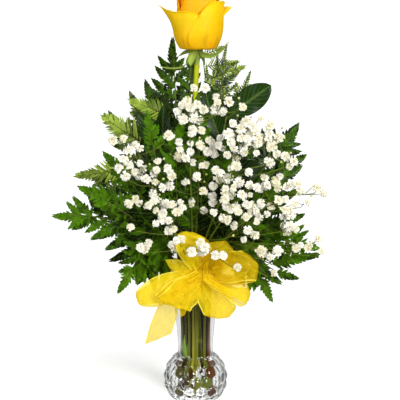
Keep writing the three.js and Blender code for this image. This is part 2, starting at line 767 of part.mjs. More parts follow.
const stemmed = [];
function plants(table, radius, firstSeed) {
  return Object.entries(table).map(([name, plant], i) => {
    const whole = { radius, seed: firstSeed + 17 * i, ...plant };
    stemmed.push(whole);
    return [name, whole];
  });
}

const fronds = plants(FRONDS, 1.5, 101);
const sprigs = plants(SPRIGS, 1.8, 401);
const sprays = plants(SPRAYS, 1.2, 701);

add("vase", vase(), 0xdfe6e6, 0.05, 0.35);
add("water", water([...stemmed, ROSE]), 0xe6eeee, 0.05, 0.3);
add("rose_bloom", roseBloom(), 0xfdc010, 0.6);
add("rose_stem", roseStem(), 0x9fb02c, 0.6);
for (const [name, plant] of fronds) add(name, frond(plant), plant.colour, 0.55);
for (const [name, plant] of sprigs) add(name, leafSprig(plant), plant.colour, 0.3);
for (const [name, plant] of sprays) add(name, spray(plant), 0xf1efe2, 0.7);
add("bow", bow(), 0xf2cf1c, 0.5, 0.8);

export default bouquet;
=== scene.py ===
"""A yellow rose in a hobnail glass bud vase, with fern, glossy leaves, gypsophila and an organza bow.

Lengths are in millimetres until a piece is made. The row frame has +Z up and its front faces -Y.
"""

import math

import bpy
import numpy as np
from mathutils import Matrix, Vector


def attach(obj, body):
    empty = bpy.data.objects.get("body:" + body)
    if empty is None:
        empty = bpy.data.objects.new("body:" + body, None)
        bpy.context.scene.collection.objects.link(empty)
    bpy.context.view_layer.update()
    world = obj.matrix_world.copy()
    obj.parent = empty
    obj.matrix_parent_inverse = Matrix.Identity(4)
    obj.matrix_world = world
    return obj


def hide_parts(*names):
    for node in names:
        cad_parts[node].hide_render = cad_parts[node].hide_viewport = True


MM = 0.001
FULL_TURN = 2 * math.pi
ABOUT_A_TURN = 6.28
WHITE = (1, 1, 1, 1)

# The camera stands where the photograph was taken from.
CAMERA_AT = (5.0, -1196.0, 440.0)
CAMERA_PITCH = 10.2
CAMERA_LENS = 100.0
CAMERA_SENSOR = 36.0

# How strong the white surround is: as light, as seen by the camera, and as seen through the glass. Glossy
# reflections of it, and of the floor, are held back by a share.
WORLD_LIGHT = 0.24
WORLD_SEEN = 1.15
WORLD_THROUGH_GLASS = 0.92
WORLD_HELD_BACK = 0.88
FLOOR_HELD_BACK = 0.8
FLOOR_LEVEL = -0.02
LIGHTS_AIM_AT = (0, 0, 0.24)

# Vase and water. Lines are of (height, radius).
VASE_AROUND = 240
FOOT_LINE = [(1.6, 14.0), (0.3, 20.5), (0.0, 22.0), (0.0, 24.0), (0.5, 25.4)]
BALL_RADIUS = 34.0
BALL_CENTRE_Z = 22.6
NOB_HEIGHT = 2.3
NOBS_AROUND = 16
NOB_ROWS = 5
NOB_HALF_WIDTH = 6.4
FACET_DEPTH = 0.35
FLOOR_Z = 8.0
FLOOR_RADIUS = 21.0
INNER_BALL_RADIUS = 28.5
INNER_BALL_Z = 24.0
WIDEST_INSIDE = 27.6
NARROWEST_INSIDE = 17.2
NECK_LINE = [
    (50.1, 20.2), (53.5, 19.5), (60, 19.3), (75, 20.4), (91, 21.9), (105, 23.1),
    (135, 25.9), (156, 27.9), (160, 28.6), (162.2, 28.7), (163, 28.0),
]
RIM_Z = 163.0
RIM_INNER_RADIUS = 26.4
WALL = 3.0
NECK_INSIDE_FROM_Z = 53.5
INNER_BALL_UP_TO_Z = 50
WATER_Z = 44.0
WATER_INTO_GLASS = 0.25

# Stems: the height of their feet, of the neck and the mouth of the vase, and how far they spread from the
# neck down to the feet and up to the mouth
STEM_FOOT_Z = 10.0
NECK_Z = 58.0
MOUTH_Z = 160.0
FOOT_SPREAD = 1.3
MOUTH_SPREAD = 1.4


# Numbers and vectors


def seeded(seed):
    """One run of numbers from 0 to 1 for each plant, the same one every time."""
    word = 0xFFFFFFFF
    state = seed

    def following():
        nonlocal state
        state = (state + 0x6D2B79F5) & word
        t = ((state ^ (state >> 15)) * (1 | state)) & word
        t = (t + ((t ^ (t >> 7)) * (61 | t))) & word ^ t
        return ((t ^ (t >> 14)) & word) / 4294967296

    return following


def mix(a, b, t):
    return a + (b - a) * t


def clamp(value, low, high):
    return min(max(value, low), high)


def either_way(reach, draw):
    """A random number from -reach to reach."""
    return mix(-reach, reach, draw())


def phase(draw):
    """A random shift of a wave, of up to about one turn."""
    return ABOUT_A_TURN * draw()


def angles(count):
    """That many angles round a circle."""
    return np.arange(count) * 2 * math.pi / count


def unit(v):
    v = np.asarray(v, float)
    return v / np.maximum(np.linalg.norm(v, axis=-1, keepdims=True), 1e-9)


def right_of(way):
    """The flat direction to the right of a flat way."""
    return np.array([way[1], -way[0]])


def smooth_line(points, steps):
    """A Catmull-Rom line through points, with that many steps between two of them."""
    p = np.asarray(points, float)
    p = np.vstack([2 * p[0] - p[1], p, 2 * p[-1] - p[-2]])
    t = np.linspace(0, 1, steps, endpoint=False)[:, None]
    runs = []
    for a, b, c, d in zip(p, p[1:], p[2:], p[3:]):
        square, cube = 2 * a - 5 * b + 4 * c - d, 3 * b - a - 3 * c + d
        runs.append(0.5 * (2 * b + (c - a) * t + square * t**2 + cube * t**3))
    return np.vstack([*runs, p[-2][None]])


# Pieces


class Shape:
    """Points and faces of one piece. Each point's mark says where it is: across, along and a tint."""

    def __init__(self):
        self.points, self.marks, self.faces, self.kinds = [], [], [], []
        self.count = 0

    def add(self, points, faces, marks, kind=0):
        """Adds points and faces. A face's kind is the number of its material: one for all, or a list."""
        points = np.asarray(points, float).reshape(-1, 3)
        self.points.append(points)
        self.marks.append(np.broadcast_to(np.asarray(marks, float).reshape(-1, 3), points.shape))
        self.faces += [[c + self.count for c in face] for face in faces]
        self.kinds += kind if isinstance(kind, list) else [kind] * len(faces)
        self.count += len(points)

    def packed(self):
        return np.concatenate(self.points), self.faces, np.concatenate(self.marks), self.kinds


def add_to_scene(name, data, at=(0, 0, 0), turned=(0, 0, 0)):
    made = bpy.data.objects.new(name, data)
    made.location = at
    made.rotation_euler = turned
    bpy.context.scene.collection.objects.link(made)
    return made


def mesh_object(name, shape, materials):
    """Makes a shape a mesh object, in metres."""
    points, faces, marks, kinds = shape.packed()
    mesh = bpy.data.meshes.new(name)
    mesh.from_pydata((points * MM).tolist(), [], faces)
    mark = mesh.attributes.new("mark", "FLOAT_VECTOR", "POINT")
    mark.data.foreach_set("vector", marks.astype(np.float32).ravel())
    for material in materials:
        mesh.materials.append(material)
    mesh.polygons.foreach_set("material_index", kinds)
    return add_to_scene(name, mesh)


def piece(name, shape, materials, replaces=(), sharp=50):
    """Makes a shape a piece that rides on the root. Edges over `sharp` degrees stay sharp."""
    made = mesh_object(name, shape, materials)
    made.data.shade_smooth()
    if sharp:
        made.data.set_sharp_from_angle(angle=math.radians(sharp))
    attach(made, "root")
    if replaces:
        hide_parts(*replaces)
    return made


def grid_faces(rows, columns, start=0, flip=False):
    """Faces between points in rows and columns, numbered from start."""
    faces = []
    for r in range(rows - 1):
        for c in range(columns - 1):
            a = start + r * columns + c
            face = [a, a + 1, a + 1 + columns, a + columns]
            faces.append(face[::-1] if flip else face)
    return faces


def ring_faces(rings, around):
    """Faces between rings of points, each ring closed."""
    faces = []
    for i in range(rings - 1):
        for k in range(around):
            a, b = i * around + k, i * around + (k + 1) % around
            faces.append([a, b, b + around, a + around])
    return faces


def slab_faces(rows, columns):
    """Faces of two grids, the upper one first, closed round their edge."""
    size = rows * columns
    faces = grid_faces(rows, columns) + grid_faces(rows, columns, size, True)
    grid = np.arange(size).reshape(rows, columns)
    edge = np.concatenate([grid[0, :-1], grid[:-1, -1], grid[-1, :0:-1], grid[:0:-1, 0]]).tolist()
    for a, b in zip(edge, edge[1:] + edge[:1]):
        faces.append([b, a, a + size, b + size])
    return faces


def slab(shape, grid, thickness, marks, kind=0):
    """Closes a grid of points, rows by columns, to a thin solid."""
    rows, columns = grid.shape[:2]
    normal = unit(np.cross(np.gradient(grid, axis=1), np.gradient(grid, axis=0)))
    half = 0.5 * np.broadcast_to(np.asarray(thickness, float), (rows, columns))[..., None]
    points = np.stack([grid + normal * half, grid - normal * half])
    marks = np.asarray(marks, float).reshape(-1, 3)
    shape.add(points, slab_faces(rows, columns), np.concatenate([marks, marks]), kind)


def grid_marks(across, along, tint):
    """Marks for a grid from its values across (columns) and along (rows)."""
    a, b = np.meshgrid(across, along)
    return np.stack([a, b, np.full_like(a, tint)], axis=-1)


def tube(shape, line, radii, sides=6, tint=0.5, kind=0):
    """A round rod along a line, closed at both ends."""
    line = np.asarray(line, float)
    radii = np.broadcast_to(np.asarray(radii, float), len(line))
    way = unit(np.gradient(line, axis=0))
    across = unit(np.cross(way[0], (0.3, 0.9, 0.1)))
    angle = angles(sides)
    rings = []
    for p, w, r in zip(line, way, radii):
        across = unit(across - w * (across @ w))
        up = np.cross(w, across)
        rings.append(p + r * (np.cos(angle)[:, None] * across + np.sin(angle)[:, None] * up))
    last = (len(line) - 1) * sides
    faces = ring_faces(len(line), sides)
    faces += [list(range(sides))[::-1], [last + k for k in range(sides)]]
    along = np.repeat(np.linspace(0, 1, len(line)), sides)
    round_it = np.tile(np.linspace(-1, 1, sides), len(line))
    marks = np.stack([round_it, along, np.full_like(along, tint)], -1)
    shape.add(np.concatenate(rings), faces, marks, kind)


# Materials


def colour(code):
    """A linear colour from its usual six-figure code."""
    parts = [int(code[i : i + 2], 16) / 255 for i in (0, 2, 4)]
    return (*[p / 12.92 if p <= 0.04045 else ((p + 0.055) / 1.055) ** 2.4 for p in parts], 1.0)


class Value:
    """What a node puts out, with plain arithmetic on it."""

    def __init__(self, tree, socket):
        self.tree, self.socket = tree, socket

    def __add__(self, other):
        return self.tree.maths("ADD", self, other)

    def __sub__(self, other):
        return self.tree.maths("SUBTRACT", self, other)

    def __rsub__(self, other):
        return self.tree.maths("SUBTRACT", other, self)

    def __mul__(self, other):
        return self.tree.maths("MULTIPLY", self, other)

    def __truediv__(self, other):
        return self.tree.maths("DIVIDE", self, other)

    def __abs__(self):
        return self.tree.maths("ABSOLUTE", self)


class Tree:
    """The node tree of a material or a world, with short calls for its nodes. Colours may be codes."""

    def __init__(self, owner):
        self.owner = owner
        owner.use_nodes = True
        self.nodes, self.links = owner.node_tree.nodes, owner.node_tree.links
        self.nodes.clear()

    def give(self, socket, value):
        if isinstance(value, Value):
            self.links.new(value.socket, socket)
        else:
            socket.default_value = colour(value) if isinstance(value, str) else value

    def out(self, kind, output, settings=None, **inputs):
        """Makes a node and returns one of its outputs. Inputs are given by name, or by number as i0, i1."""
        made = self.nodes.new("ShaderNode" + kind)
        for key, value in (settings or {}).items():
            setattr(made, key, value)
        for key, value in inputs.items():
            number = key[1:].isdigit()
            self.give(made.inputs[int(key[1:]) if number else key.replace("_", " ")], value)
        return Value(self, made.outputs[output])

    def maths(self, operation, *values, kind="Math", output=0, **settings):
        inputs = {f"i{k}": value for k, value in enumerate(values)}
        return self.out(kind, output, {"operation": operation, **settings}, **inputs)

    def larger(self, a, b):
        return self.maths("MAXIMUM", a, b)

    def parts(self, vector):
        return [self.out("SeparateXYZ", axis, Vector=vector) for axis in "XYZ"]

    def ray(self, kind):
        return self.out("LightPath", f"Is {kind} Ray")

    def close(self, kind, surface):
        """Links the surface to a new output node."""
        self.links.new(surface.socket, self.nodes.new(kind).inputs["Surface"])
        return self.owner


class Look(Tree):
    """A material. Its marks say where each point of a piece is: across, along and a tint."""

    def __init__(self, name):
        super().__init__(bpy.data.materials.new(name))
        self.mark = self.out("Attribute", "Vector", {"attribute_name": "mark"})
        self.across, self.along, self.tint = self.parts(self.mark)
        self.place = self.out("TexCoord", "Object")

    def ramp(self, factor, *stops, smooth=False):
        """Colours or numbers at places from 0 to 1."""
        made = self.out("ValToRGB", "Color", Fac=factor)
        line = made.socket.node.color_ramp
        line.interpolation = "EASE" if smooth else "LINEAR"
        while len(line.elements) < len(stops):
            line.elements.new(0.5)
        for element, (at, value) in zip(line.elements, stops):
            element.position = at
            element.color = colour(value) if isinstance(value, str) else (value, value, value, 1)
        return made

    def blend(self, share, a, b):
        return self.out("Mix", 2, {"data_type": "RGBA"}, i0=share, i6=a, i7=b)

    def noise(self, scale, detail=3.0, vector=None, roughness=0.5):
        vector = vector or self.place
        return self.out("TexNoise", "Fac", Vector=vector, Scale=scale, Detail=detail, Roughness=roughness)

    def stretched(self, *by):
        """The mark with its three parts stretched, so that noise runs along or across a piece."""
        return self.maths("MULTIPLY", self.mark, by, kind="VectorMath")

    def bump(self, height, strength, distance):
        return self.out("Bump", "Normal", Height=height, Strength=strength, Distance=distance)

    def shader(self, kind, **inputs):
        return self.out("Bsdf" + kind, "BSDF", **inputs)

    def mixed(self, share, first, second):
        return self.out("MixShader", 0, i0=share, i1=first, i2=second)

    def output(self, shader):
        return self.close("ShaderNodeOutputMaterial", shader)

    def finish(self, **inputs):
        return self.output(self.shader("Principled", **inputs))


def leaf_material(name, deep, fresh, rib, gloss, veins=18.0, glow=0.0, shine=0.5):
    """A green leaf: patchy colour, a paler rib, side veins that run forward, and a waxy shine."""
    look = Look(name)
    # The tint picks a colour between the deep one and the pale one; on fern leaflets it carries painted
    # shade as well as random tone.
    base = look.ramp(look.tint * 0.78 + look.noise(45, 4) * 0.5, (0.30, deep), (0.95, fresh))
    edge = abs(look.across)
    on_rib = look.ramp(edge, (0.0, 1.0), (0.16, 0.0))
    base = look.blend(on_rib * 0.42, base, rib)
    wave = look.maths("SINE", (look.along - edge * 0.28) * (6.283 * veins))
    vein = look.ramp((wave + 1.0) * 0.5, (0.0, 0.0), (0.86, 0.05), (1.0, 1.0))
    base = look.blend(vein * 0.18, base, rib)
    height = on_rib * -0.8 + vein * -0.35 + look.noise(900, 2) * 0.25
    return look.finish(
        Base_Color=base,
        Roughness=look.ramp(look.noise(160, 3), (0.3, gloss), (0.75, gloss + 0.16)),
        Normal=look.bump(height, 0.35, 0.0004),
        Specular_IOR_Level=shine,
        Subsurface_Weight=glow,
        Subsurface_Scale=0.0012,
        Subsurface_Radius=(0.5, 1.0, 0.15),
        IOR=1.45,
    )


def stalk_material(name, low, high, old, rough=0.5, green=None):
    """A stem: its colour changes along it, with fine lines and small pale specks. It is older in the vase.

    The rose's is green in the water and has a yellow band above it.
    """
    look = Look(name)
    lines = look.noise(26, 3, look.stretched(9, 1.2, 1))
    base = look.ramp(lines * 0.7 + look.along * 0.4, (0.25, low), (0.75, high))
    height = look.parts(look.place)[2] / 0.2
    base = look.blend(look.ramp(height, (0.3, 1.0), (0.85, 0.0)) * look.tint, base, old)
    if green:
        base = look.blend(look.ramp(height, (0.2, 1.0), (0.26, 0.0)), base, green)
        base = look.blend(look.ramp(height, (0.31, 0.0), (0.33, 1.0), (0.345, 0.0)), base, "d8c83c")
    speck = look.ramp(look.noise(700, 1), (0.68, 0.0), (0.76, 1.0))
    base = look.blend(speck * 0.3, base, "d8d3a0")
    return look.finish(
        Base_Color=base,
        Roughness=look.ramp(look.noise(220), (0.3, rough - 0.08), (0.7, rough + 0.12)),
        Normal=look.bump(lines + speck * 0.4, 0.3, 0.0004),
        Specular_IOR_Level=0.2,
        IOR=1.42,
    )


def petal_material():
    """A rose petal: deep gold at its foot and in its folds, paler at its rim, with fine veins along it."""
    look = Look("rose_petal")
    streak = look.noise(11, 5, look.stretched(9.0, 0.55, 5.0), 0.62)
    base = look.ramp(look.along, (0.0, "ffac00"), (0.35, "ffba00"), (0.78, "ffc600"), (1.0, "ffd20a"))
    base = look.blend(look.ramp(streak, (0.35, 0.0), (0.72, 0.25)), base, "ffa400")
    base = look.blend(look.ramp(look.noise(38, 2), (0.42, 0.0), (0.75, 0.25)), base, "ffdc20")
    base = look.blend(look.ramp(look.tint, (0.0, 0.0), (1.0, 0.8)), base, "ff9800")
    return look.finish(
        Base_Color=base,
        Roughness=look.ramp(streak, (0.3, 0.42), (0.7, 0.58)),
        Normal=look.bump(streak + look.noise(500, 3) * 0.3, 0.22, 0.0006),
        Subsurface_Weight=0.35,
        Subsurface_Scale=0.004,
        Subsurface_Radius=(1.0, 0.6, 0.12),
        Specular_IOR_Level=0.25,
        IOR=1.4,
    )


def floret_material():
    """White petals, greenish at the heart, and darker there still by painted shade. Some florets are
    creamier.
    """
    look = Look("floret")
    # The heart's darker colour is partly the floret's own green and partly painted shade in its hollow.
    base = look.ramp(look.along, (0.0, "b4bc58"), (0.42, "ece6c0"), (1.0, "fffefa"))
    base = look.blend(look.ramp(look.tint, (0.35, 0.0), (1.0, 0.7)), base, "ece4bc")
    crease = look.noise(30, 3, look.stretched(3.0, 1.0, 9.0))
    return look.finish(
        Base_Color=base,
        Roughness=look.ramp(crease, (0.3, 0.55), (0.7, 0.72)),
        Normal=look.bump(crease, 0.25, 0.0003),
        Subsurface_Weight=0.2,
        Subsurface_Scale=0.001,
        Subsurface_Radius=(1.0, 1.0, 0.8),
        Sheen_Weight=0.1,
        IOR=1.4,
    )


def organza_material():
    """Sheer ribbon: yellow threads with a tinted view between them, and a dense thread along each edge.

    The tint of a piece makes it more see-through, and from 0.5 up also darker, which is painted shade. A
    tint below 0 makes it denser.
    """
    look = Look("organza")
    selvage = look.ramp(abs(look.across), (0.89, 0.0), (0.95, 1.0))
    warp = look.maths("SINE", look.across * 150.0)
    weft = look.maths("SINE", look.along * 520.0)
    weave = (warp + weft) * 0.25
    slub = look.noise(9, 4, look.stretched(2.2, 16.0, 3.0), 0.65)
    crumple = look.noise(5, 4, look.stretched(5.5, 2.2, 3.0), 0.6)
    veil = (slub - 0.5) * 0.9 + 0.62 + (crumple - 0.5) * 0.7
    veil = look.maths("ADD", veil, weave * 0.10, use_clamp=True) - look.tint * 0.25
    veil = look.larger(veil, selvage * 0.95)
    base = look.blend(look.ramp(crumple, (0.3, 0.0), (0.7, 1.0)), "ffdc00", "ffec0c")
    base = look.blend(selvage, base, "fff048")
    # From a tint of 0.5 up the threads are darker: painted shade.
    base = look.blend(look.ramp(look.tint, (0.5, 0.0), (1.0, 0.7)), base, "e8c400")
    threads = look.shader(
        "Principled",
        Base_Color=base,
        Roughness=look.ramp(slub, (0.3, 0.42), (0.7, 0.56)),
        Normal=look.bump(weave + slub + crumple * 3.0, 0.35, 0.0008),
        Specular_IOR_Level=0.3,
    )
    lit = look.mixed(0.24, threads, look.shader("Translucent", Color=base))
    # From a tint of 0.5 up the view between the threads is darker as well: painted shade.
    painted_shade_share = look.ramp(look.tint, (0.5, 0.0), (1.0, 1.0))
    between = look.blend(painted_shade_share, (0.96, 0.87, 0.38, 1), (0.86, 0.74, 0.26, 1))
    return look.output(look.mixed(veil, look.shader("Transparent", Color=between), lit))


def clear_material(name, ior, tone, ripple):
    """Clear glass or water that lets the lamps through, with a faint waviness."""
    look = Look(name)
    wave = look.noise(ripple, 2)
    solid = look.shader(
        "Principled",
        Base_Color=look.blend(look.ramp(wave, (0.3, 0.0), (0.7, 1.0)), tone, WHITE),
        Roughness=0.0,
        Transmission_Weight=1.0,
        IOR=ior,
        Normal=look.bump(wave, 0.06, 0.0005),
    )
    through = look.larger(look.ray("Shadow"), look.ray("Diffuse"))
    return look.output(look.mixed(through, solid, look.shader("Transparent", Color=tone)))


# Stage, light and camera


def make_camera():
    data = bpy.data.cameras.new("camera")
    data.lens = CAMERA_LENS
    data.sensor_width = CAMERA_SENSOR
    data.clip_end = 50
    at = [c * MM for c in CAMERA_AT]
    bpy.context.scene.camera = add_to_scene("camera", data, at, (math.radians(90 - CAMERA_PITCH), 0, 0))


def softbox(name, at, size, power):
    """A rectangular lamp, in metres and watts, that faces the middle of the object."""
    data = bpy.data.lights.new(name, "AREA")
    data.shape = "RECTANGLE"
    data.size, data.size_y = size
    data.energy = power
    way = Vector(LIGHTS_AIM_AT) - Vector(at)
    add_to_scene(name, data, at, way.to_track_quat("-Z", "Y").to_euler())


def make_lights():
    softbox("key", (0.85, -1.35, 0.95), (0.6, 0.9), 32)
    softbox("fill", (-1.15, -1.2, 0.6), (0.9, 1.2), 17)
    softbox("back", (0.3, 1.1, 1.2), (1.2, 0.8), 19)


def make_world():
    """A white surround for the camera.

    Glass sees it white behind it, with darker sides and a dark room in front.
    """
    world = bpy.data.worlds.new("studio")
    sky = Tree(world)
    x, y, z = sky.parts(sky.out("TexCoord", "Generated"))

    def rising(value, low, high):
        settings = {"interpolation_type": "SMOOTHSTEP"}
        return sky.out("MapRange", "Result", settings, Value=value, From_Min=low, From_Max=high)

    dark = rising(abs(x), 0.45, 0.8) * (1.0 - rising(abs(z), 0.12, 0.55))
    light = (1.0 - dark * 0.86) * (1.0 - sky.ray("Glossy") * WORLD_HELD_BACK)
    behind = rising(y, 0.0, 0.5) * sky.ray("Transmission")
    through_glass = (1.0 - dark * 0.8) * behind * WORLD_THROUGH_GLASS
    seen = sky.larger(sky.ray("Camera") * WORLD_SEEN, through_glass)
    strength = sky.larger(light * WORLD_LIGHT, seen)
    shade = sky.out("Background", 0, Color=WHITE, Strength=strength)
    bpy.context.scene.world = sky.close("ShaderNodeOutputWorld", shade)


def make_floor():
    """A plain pale floor that fades out. It isn't seen in glossy reflections as much as by the camera."""
    shape = Shape()
    around = 64
    angle = angles(around)
    points = [(0, 0, FLOOR_LEVEL)]
    for radius in (60.0, 200.0, 420.0):
        points += [(radius * math.cos(a), radius * math.sin(a), FLOOR_LEVEL) for a in angle]
    faces = [[0, 1 + k, 1 + (k + 1) % around] for k in range(around)]
    for start in (1 + around, 1 + 2 * around):
        for k in range(around):
            n = (k + 1) % around
            faces.append([start + k, start + n, start - around + n, start - around + k])
    shape.add(points, faces, (0, 0, 0.5))
    look = Look("floor")
    away = look.maths("LENGTH", look.place, kind="VectorMath", output="Value")
    fading = look.ramp(away, (0.06, 1.0), (0.34, 0.0), smooth=True)
    material = look.finish(
        Base_Color=look.ramp(look.noise(260, 3), (0.3, "f6f6f4"), (0.7, "fafaf9")),
        Roughness=0.75,
        Specular_IOR_Level=0.15,
        Alpha=fading * (1.0 - look.ray("Glossy") * FLOOR_HELD_BACK),
    )
    mesh_object("floor", shape, [material])


# Vase and water


def neck_radius(z):
    heights, radii = zip(*NECK_LINE)
    return np.interp(z, heights, radii)


def lathe(shape, rings, around, kind=0):
    """A closed skin round the Z axis: rings of (z, radius for each angle), closed on the axis."""
    angle = angles(around)
    points = []
    for z, radius in rings:
        radius = np.broadcast_to(radius, around)
        points.append(np.stack([radius * np.cos(angle), radius * np.sin(angle), np.full(around, z)], -1))
    points.append(np.array([[0, 0, rings[0][0]], [0, 0, rings[-1][0]]], float))
    faces = ring_faces(len(rings), around)
    low_middle = len(rings) * around
    last = (len(rings) - 1) * around
    for k in range(around):
        n = (k + 1) % around
        faces.append([low_middle, n, k])
        faces.append([low_middle + 1, last + k, last + n])
    shape.add(np.concatenate(points), faces, (0, 0, 0.5), kind)


def nobs(angle_up, low, high):
    """How far the nobs stand out at one height, for each step round the ball."""
    steps = angles(VASE_AROUND)
    row_step = (high - low) / NOB_ROWS
    turn = FULL_TURN / NOBS_AROUND
    height = np.zeros(VASE_AROUND)
    for row in range(NOB_ROWS):
        middle = low + (row + 0.5) * row_step
        offset = (steps / turn - 0.5 * (row % 2) + 0.5) % 1.0 - 0.5
        beside = offset * turn * math.cos(middle) * BALL_RADIUS
        above = (angle_up - middle) * BALL_RADIUS
        distance = np.hypot(beside / NOB_HALF_WIDTH, above / NOB_HALF_WIDTH)
        height = np.maximum(height, NOB_HEIGHT * np.clip(1 - distance**2, 0, 1) ** 0.75)
    return height


def make_vase(glass):
    """Its skin runs from the foot up the outside, over the rim and down the inside to the floor."""
    shape = Shape()
    low = -math.asin(BALL_CENTRE_Z / BALL_RADIUS)
    high = math.acos(NECK_LINE[0][1] / BALL_RADIUS)
    rings = list(FOOT_LINE)
    for angle_up in np.linspace(low + 0.035, high, 84):
        radius = BALL_RADIUS + nobs(angle_up, low, high) - FACET_DEPTH
        rings.append((BALL_CENTRE_Z + BALL_RADIUS * math.sin(angle_up), radius * math.cos(angle_up)))
    line = smooth_line(NECK_LINE, 12)

    def outside(z):
        return float(np.interp(z, line[:, 0], line[:, 1]))

    rings += [(z, outside(z)) for z in np.linspace(NECK_LINE[0][0], NECK_LINE[-1][0], 60)[1:]]
    rings += [(RIM_Z - 0.1, RIM_INNER_RADIUS), (RIM_Z - 1.2, neck_radius(RIM_Z - 2) - WALL)]
    rings += [(z, outside(z) - WALL) for z in np.linspace(RIM_Z - 4, NECK_INSIDE_FROM_Z, 50)]
    inner_top = math.asin((INNER_BALL_UP_TO_Z - INNER_BALL_Z) / INNER_BALL_RADIUS)
    inner_low = math.asin((FLOOR_Z + 0.6 - INNER_BALL_Z) / INNER_BALL_RADIUS)
    for angle_up in np.linspace(inner_top, inner_low, 40):
        radius = min(INNER_BALL_RADIUS * math.cos(angle_up), WIDEST_INSIDE)
        z = INNER_BALL_Z + INNER_BALL_RADIUS * math.sin(angle_up)
        rings.append((z, max(radius, NARROWEST_INSIDE if z > 40 else 0)))
    rings.append((FLOOR_Z, FLOOR_RADIUS))
    lathe(shape, rings, VASE_AROUND)
    return piece("glass_vase", shape, [glass], ["vase"], sharp=0)


def make_water(clear):
    """Water that wets the glass, so it reaches a little into it, and stands up at its edge."""
    shape = Shape()
    rings = [(FLOOR_Z - WATER_INTO_GLASS, FLOOR_RADIUS)]
    for z in np.linspace(FLOOR_Z + 0.6, WATER_Z, 30):
        radius = math.sqrt(INNER_BALL_RADIUS**2 - (z - INNER_BALL_Z) ** 2)
        rings.append((z, min(radius, WIDEST_INSIDE) + WATER_INTO_GLASS))
    edge = rings[-1][1]
    rings += [(WATER_Z + 0.5, edge - 0.3), (WATER_Z - 0.3, edge - 1.4), (WATER_Z - 0.5, edge - 3)]
    lathe(shape, rings, 96)
    return piece("vase_water", shape, [clear], ["water"], sharp=0)


# Where a plant's parts are


def depth(plant, x, z):
    """How far back the plane of a plant is: it leans from the mouth of the vase, and sways a little."""
    reach = np.hypot(x, z - MOUTH_Z)
    sway = 3 * np.sin(x / 24 + 0.7) * np.cos(z / 33) * np.clip((np.abs(x) - 25) / 60, 0, 1)
    return MOUTH_SPREAD * plant["neck"][1] + plant["lean"] * reach + sway


def place(plant, flat, off=0.0):
    """Points of a flat layout in X and Z, put in the plant's own leaning plane or off it."""
    flat = np.asarray(flat, float)
    x, z = flat[..., 0], flat[..., 1]
    return np.stack([x, depth(plant, x, z) + off, z], axis=-1)


def curve_above(plant):
    """The flat curve of a stem above the mouth of the vase, from 0 to 1."""
    start = np.array([MOUTH_SPREAD * plant["neck"][0], MOUTH_Z])
    bend, tip = np.array(plant["bend"], float), np.array(plant["tip"], float)

    def curve(t):
        t = np.asarray(t, float)[..., None]
        return (1 - t) ** 2 * start + 2 * t * (1 - t) * bend + t * t * tip

    return curve


def foot_and_mouth(plant):
    """Where a stem has its foot, passes the neck and leaves the mouth."""
    x, y = plant["neck"]
    foot = plant.get("foot", (FOOT_SPREAD * x, FOOT_SPREAD * y))
    mouth = plant.get("mouth", (MOUTH_SPREAD * x, MOUTH_SPREAD * y))
    return [(*foot, STEM_FOOT_Z), (x, y, NECK_Z), (*mouth, MOUTH_Z)]


def whole_stem(shape, plant, curve, end, radius, kind, sides=8, thin=0.45):
    """A stem from its foot to a share of its curve. It is thicker below the neck, and thin at its end."""
    above = place(plant, curve(np.linspace(0, end, 9)[1:]))
    line = smooth_line(np.vstack([foot_and_mouth(plant), above]), 4)
    in_vase = 8
    t = np.concatenate([np.zeros(in_vase), np.linspace(0, end, len(line) - in_vase)])
    radii = radius * mix(1, thin, t) * np.interp(line[:, 2], (NECK_Z, MOUTH_Z), (1.5, 1.0))
    tube(shape, line, radii, sides, plant["age"], kind)


def from_to(base, tip):
    """The length of a flat line, its way, and the way to the right of it."""
    span = tip - base
    length = float(np.linalg.norm(span))
    return length, span / length, right_of(span / length)


# Fern

# (along, half width): an outline with teeth, and a plain one for the small leaflets
TOOTHED = [
    (0.0, 0.44), (0.12, 0.88), (0.26, 1.0), (0.32, 0.82), (0.50, 0.98), (0.56, 0.74), (0.76, 0.66),
    (0.81, 0.44), (1.0, 0.02),
]
PLAIN = [(0.0, 0.5), (0.22, 0.95), (0.48, 1.0), (0.74, 0.72), (1.0, 0.02)]
TOOTHED_FROM = 7.0
LEAFLET_THICK = 0.3
LEAFLET_FOLD = 0.30
# How many degrees the leaflets at the foot and tip of a side leaf stand away from its rib, and the side
# leaves at the foot and tip of a frond from its stem
LEAFLET_ANGLES = (54, 30)
SIDE_LEAF_ANGLES = (58, 38)
# The forms of a side leaf: toothed leaflets that grow together at the rib, longer ones that stand apart,
# and small narrow ones. Each has the gap between its leaflets, how wide they are for that gap, the most of
# them on a side, the width of the leaflet at its tip, and the tint of a side leaf that hangs alone.
PINNA_FORMS = {
    "joined": dict(gap=4.9, slim=0.86, most=13, end=0.26, alone=0.4),
    "comb": dict(gap=4.1, slim=0.7, most=14, end=0.16, alone=0.68),
    "lace": dict(gap=3.4, slim=0.56, most=12, end=0.12, alone=0.5),
}
# The shares of a frond's stem at which its topmost side leaf and the leaf at its tip start
TOPMOST_PAIR = 0.86
END_LEAF = 0.8


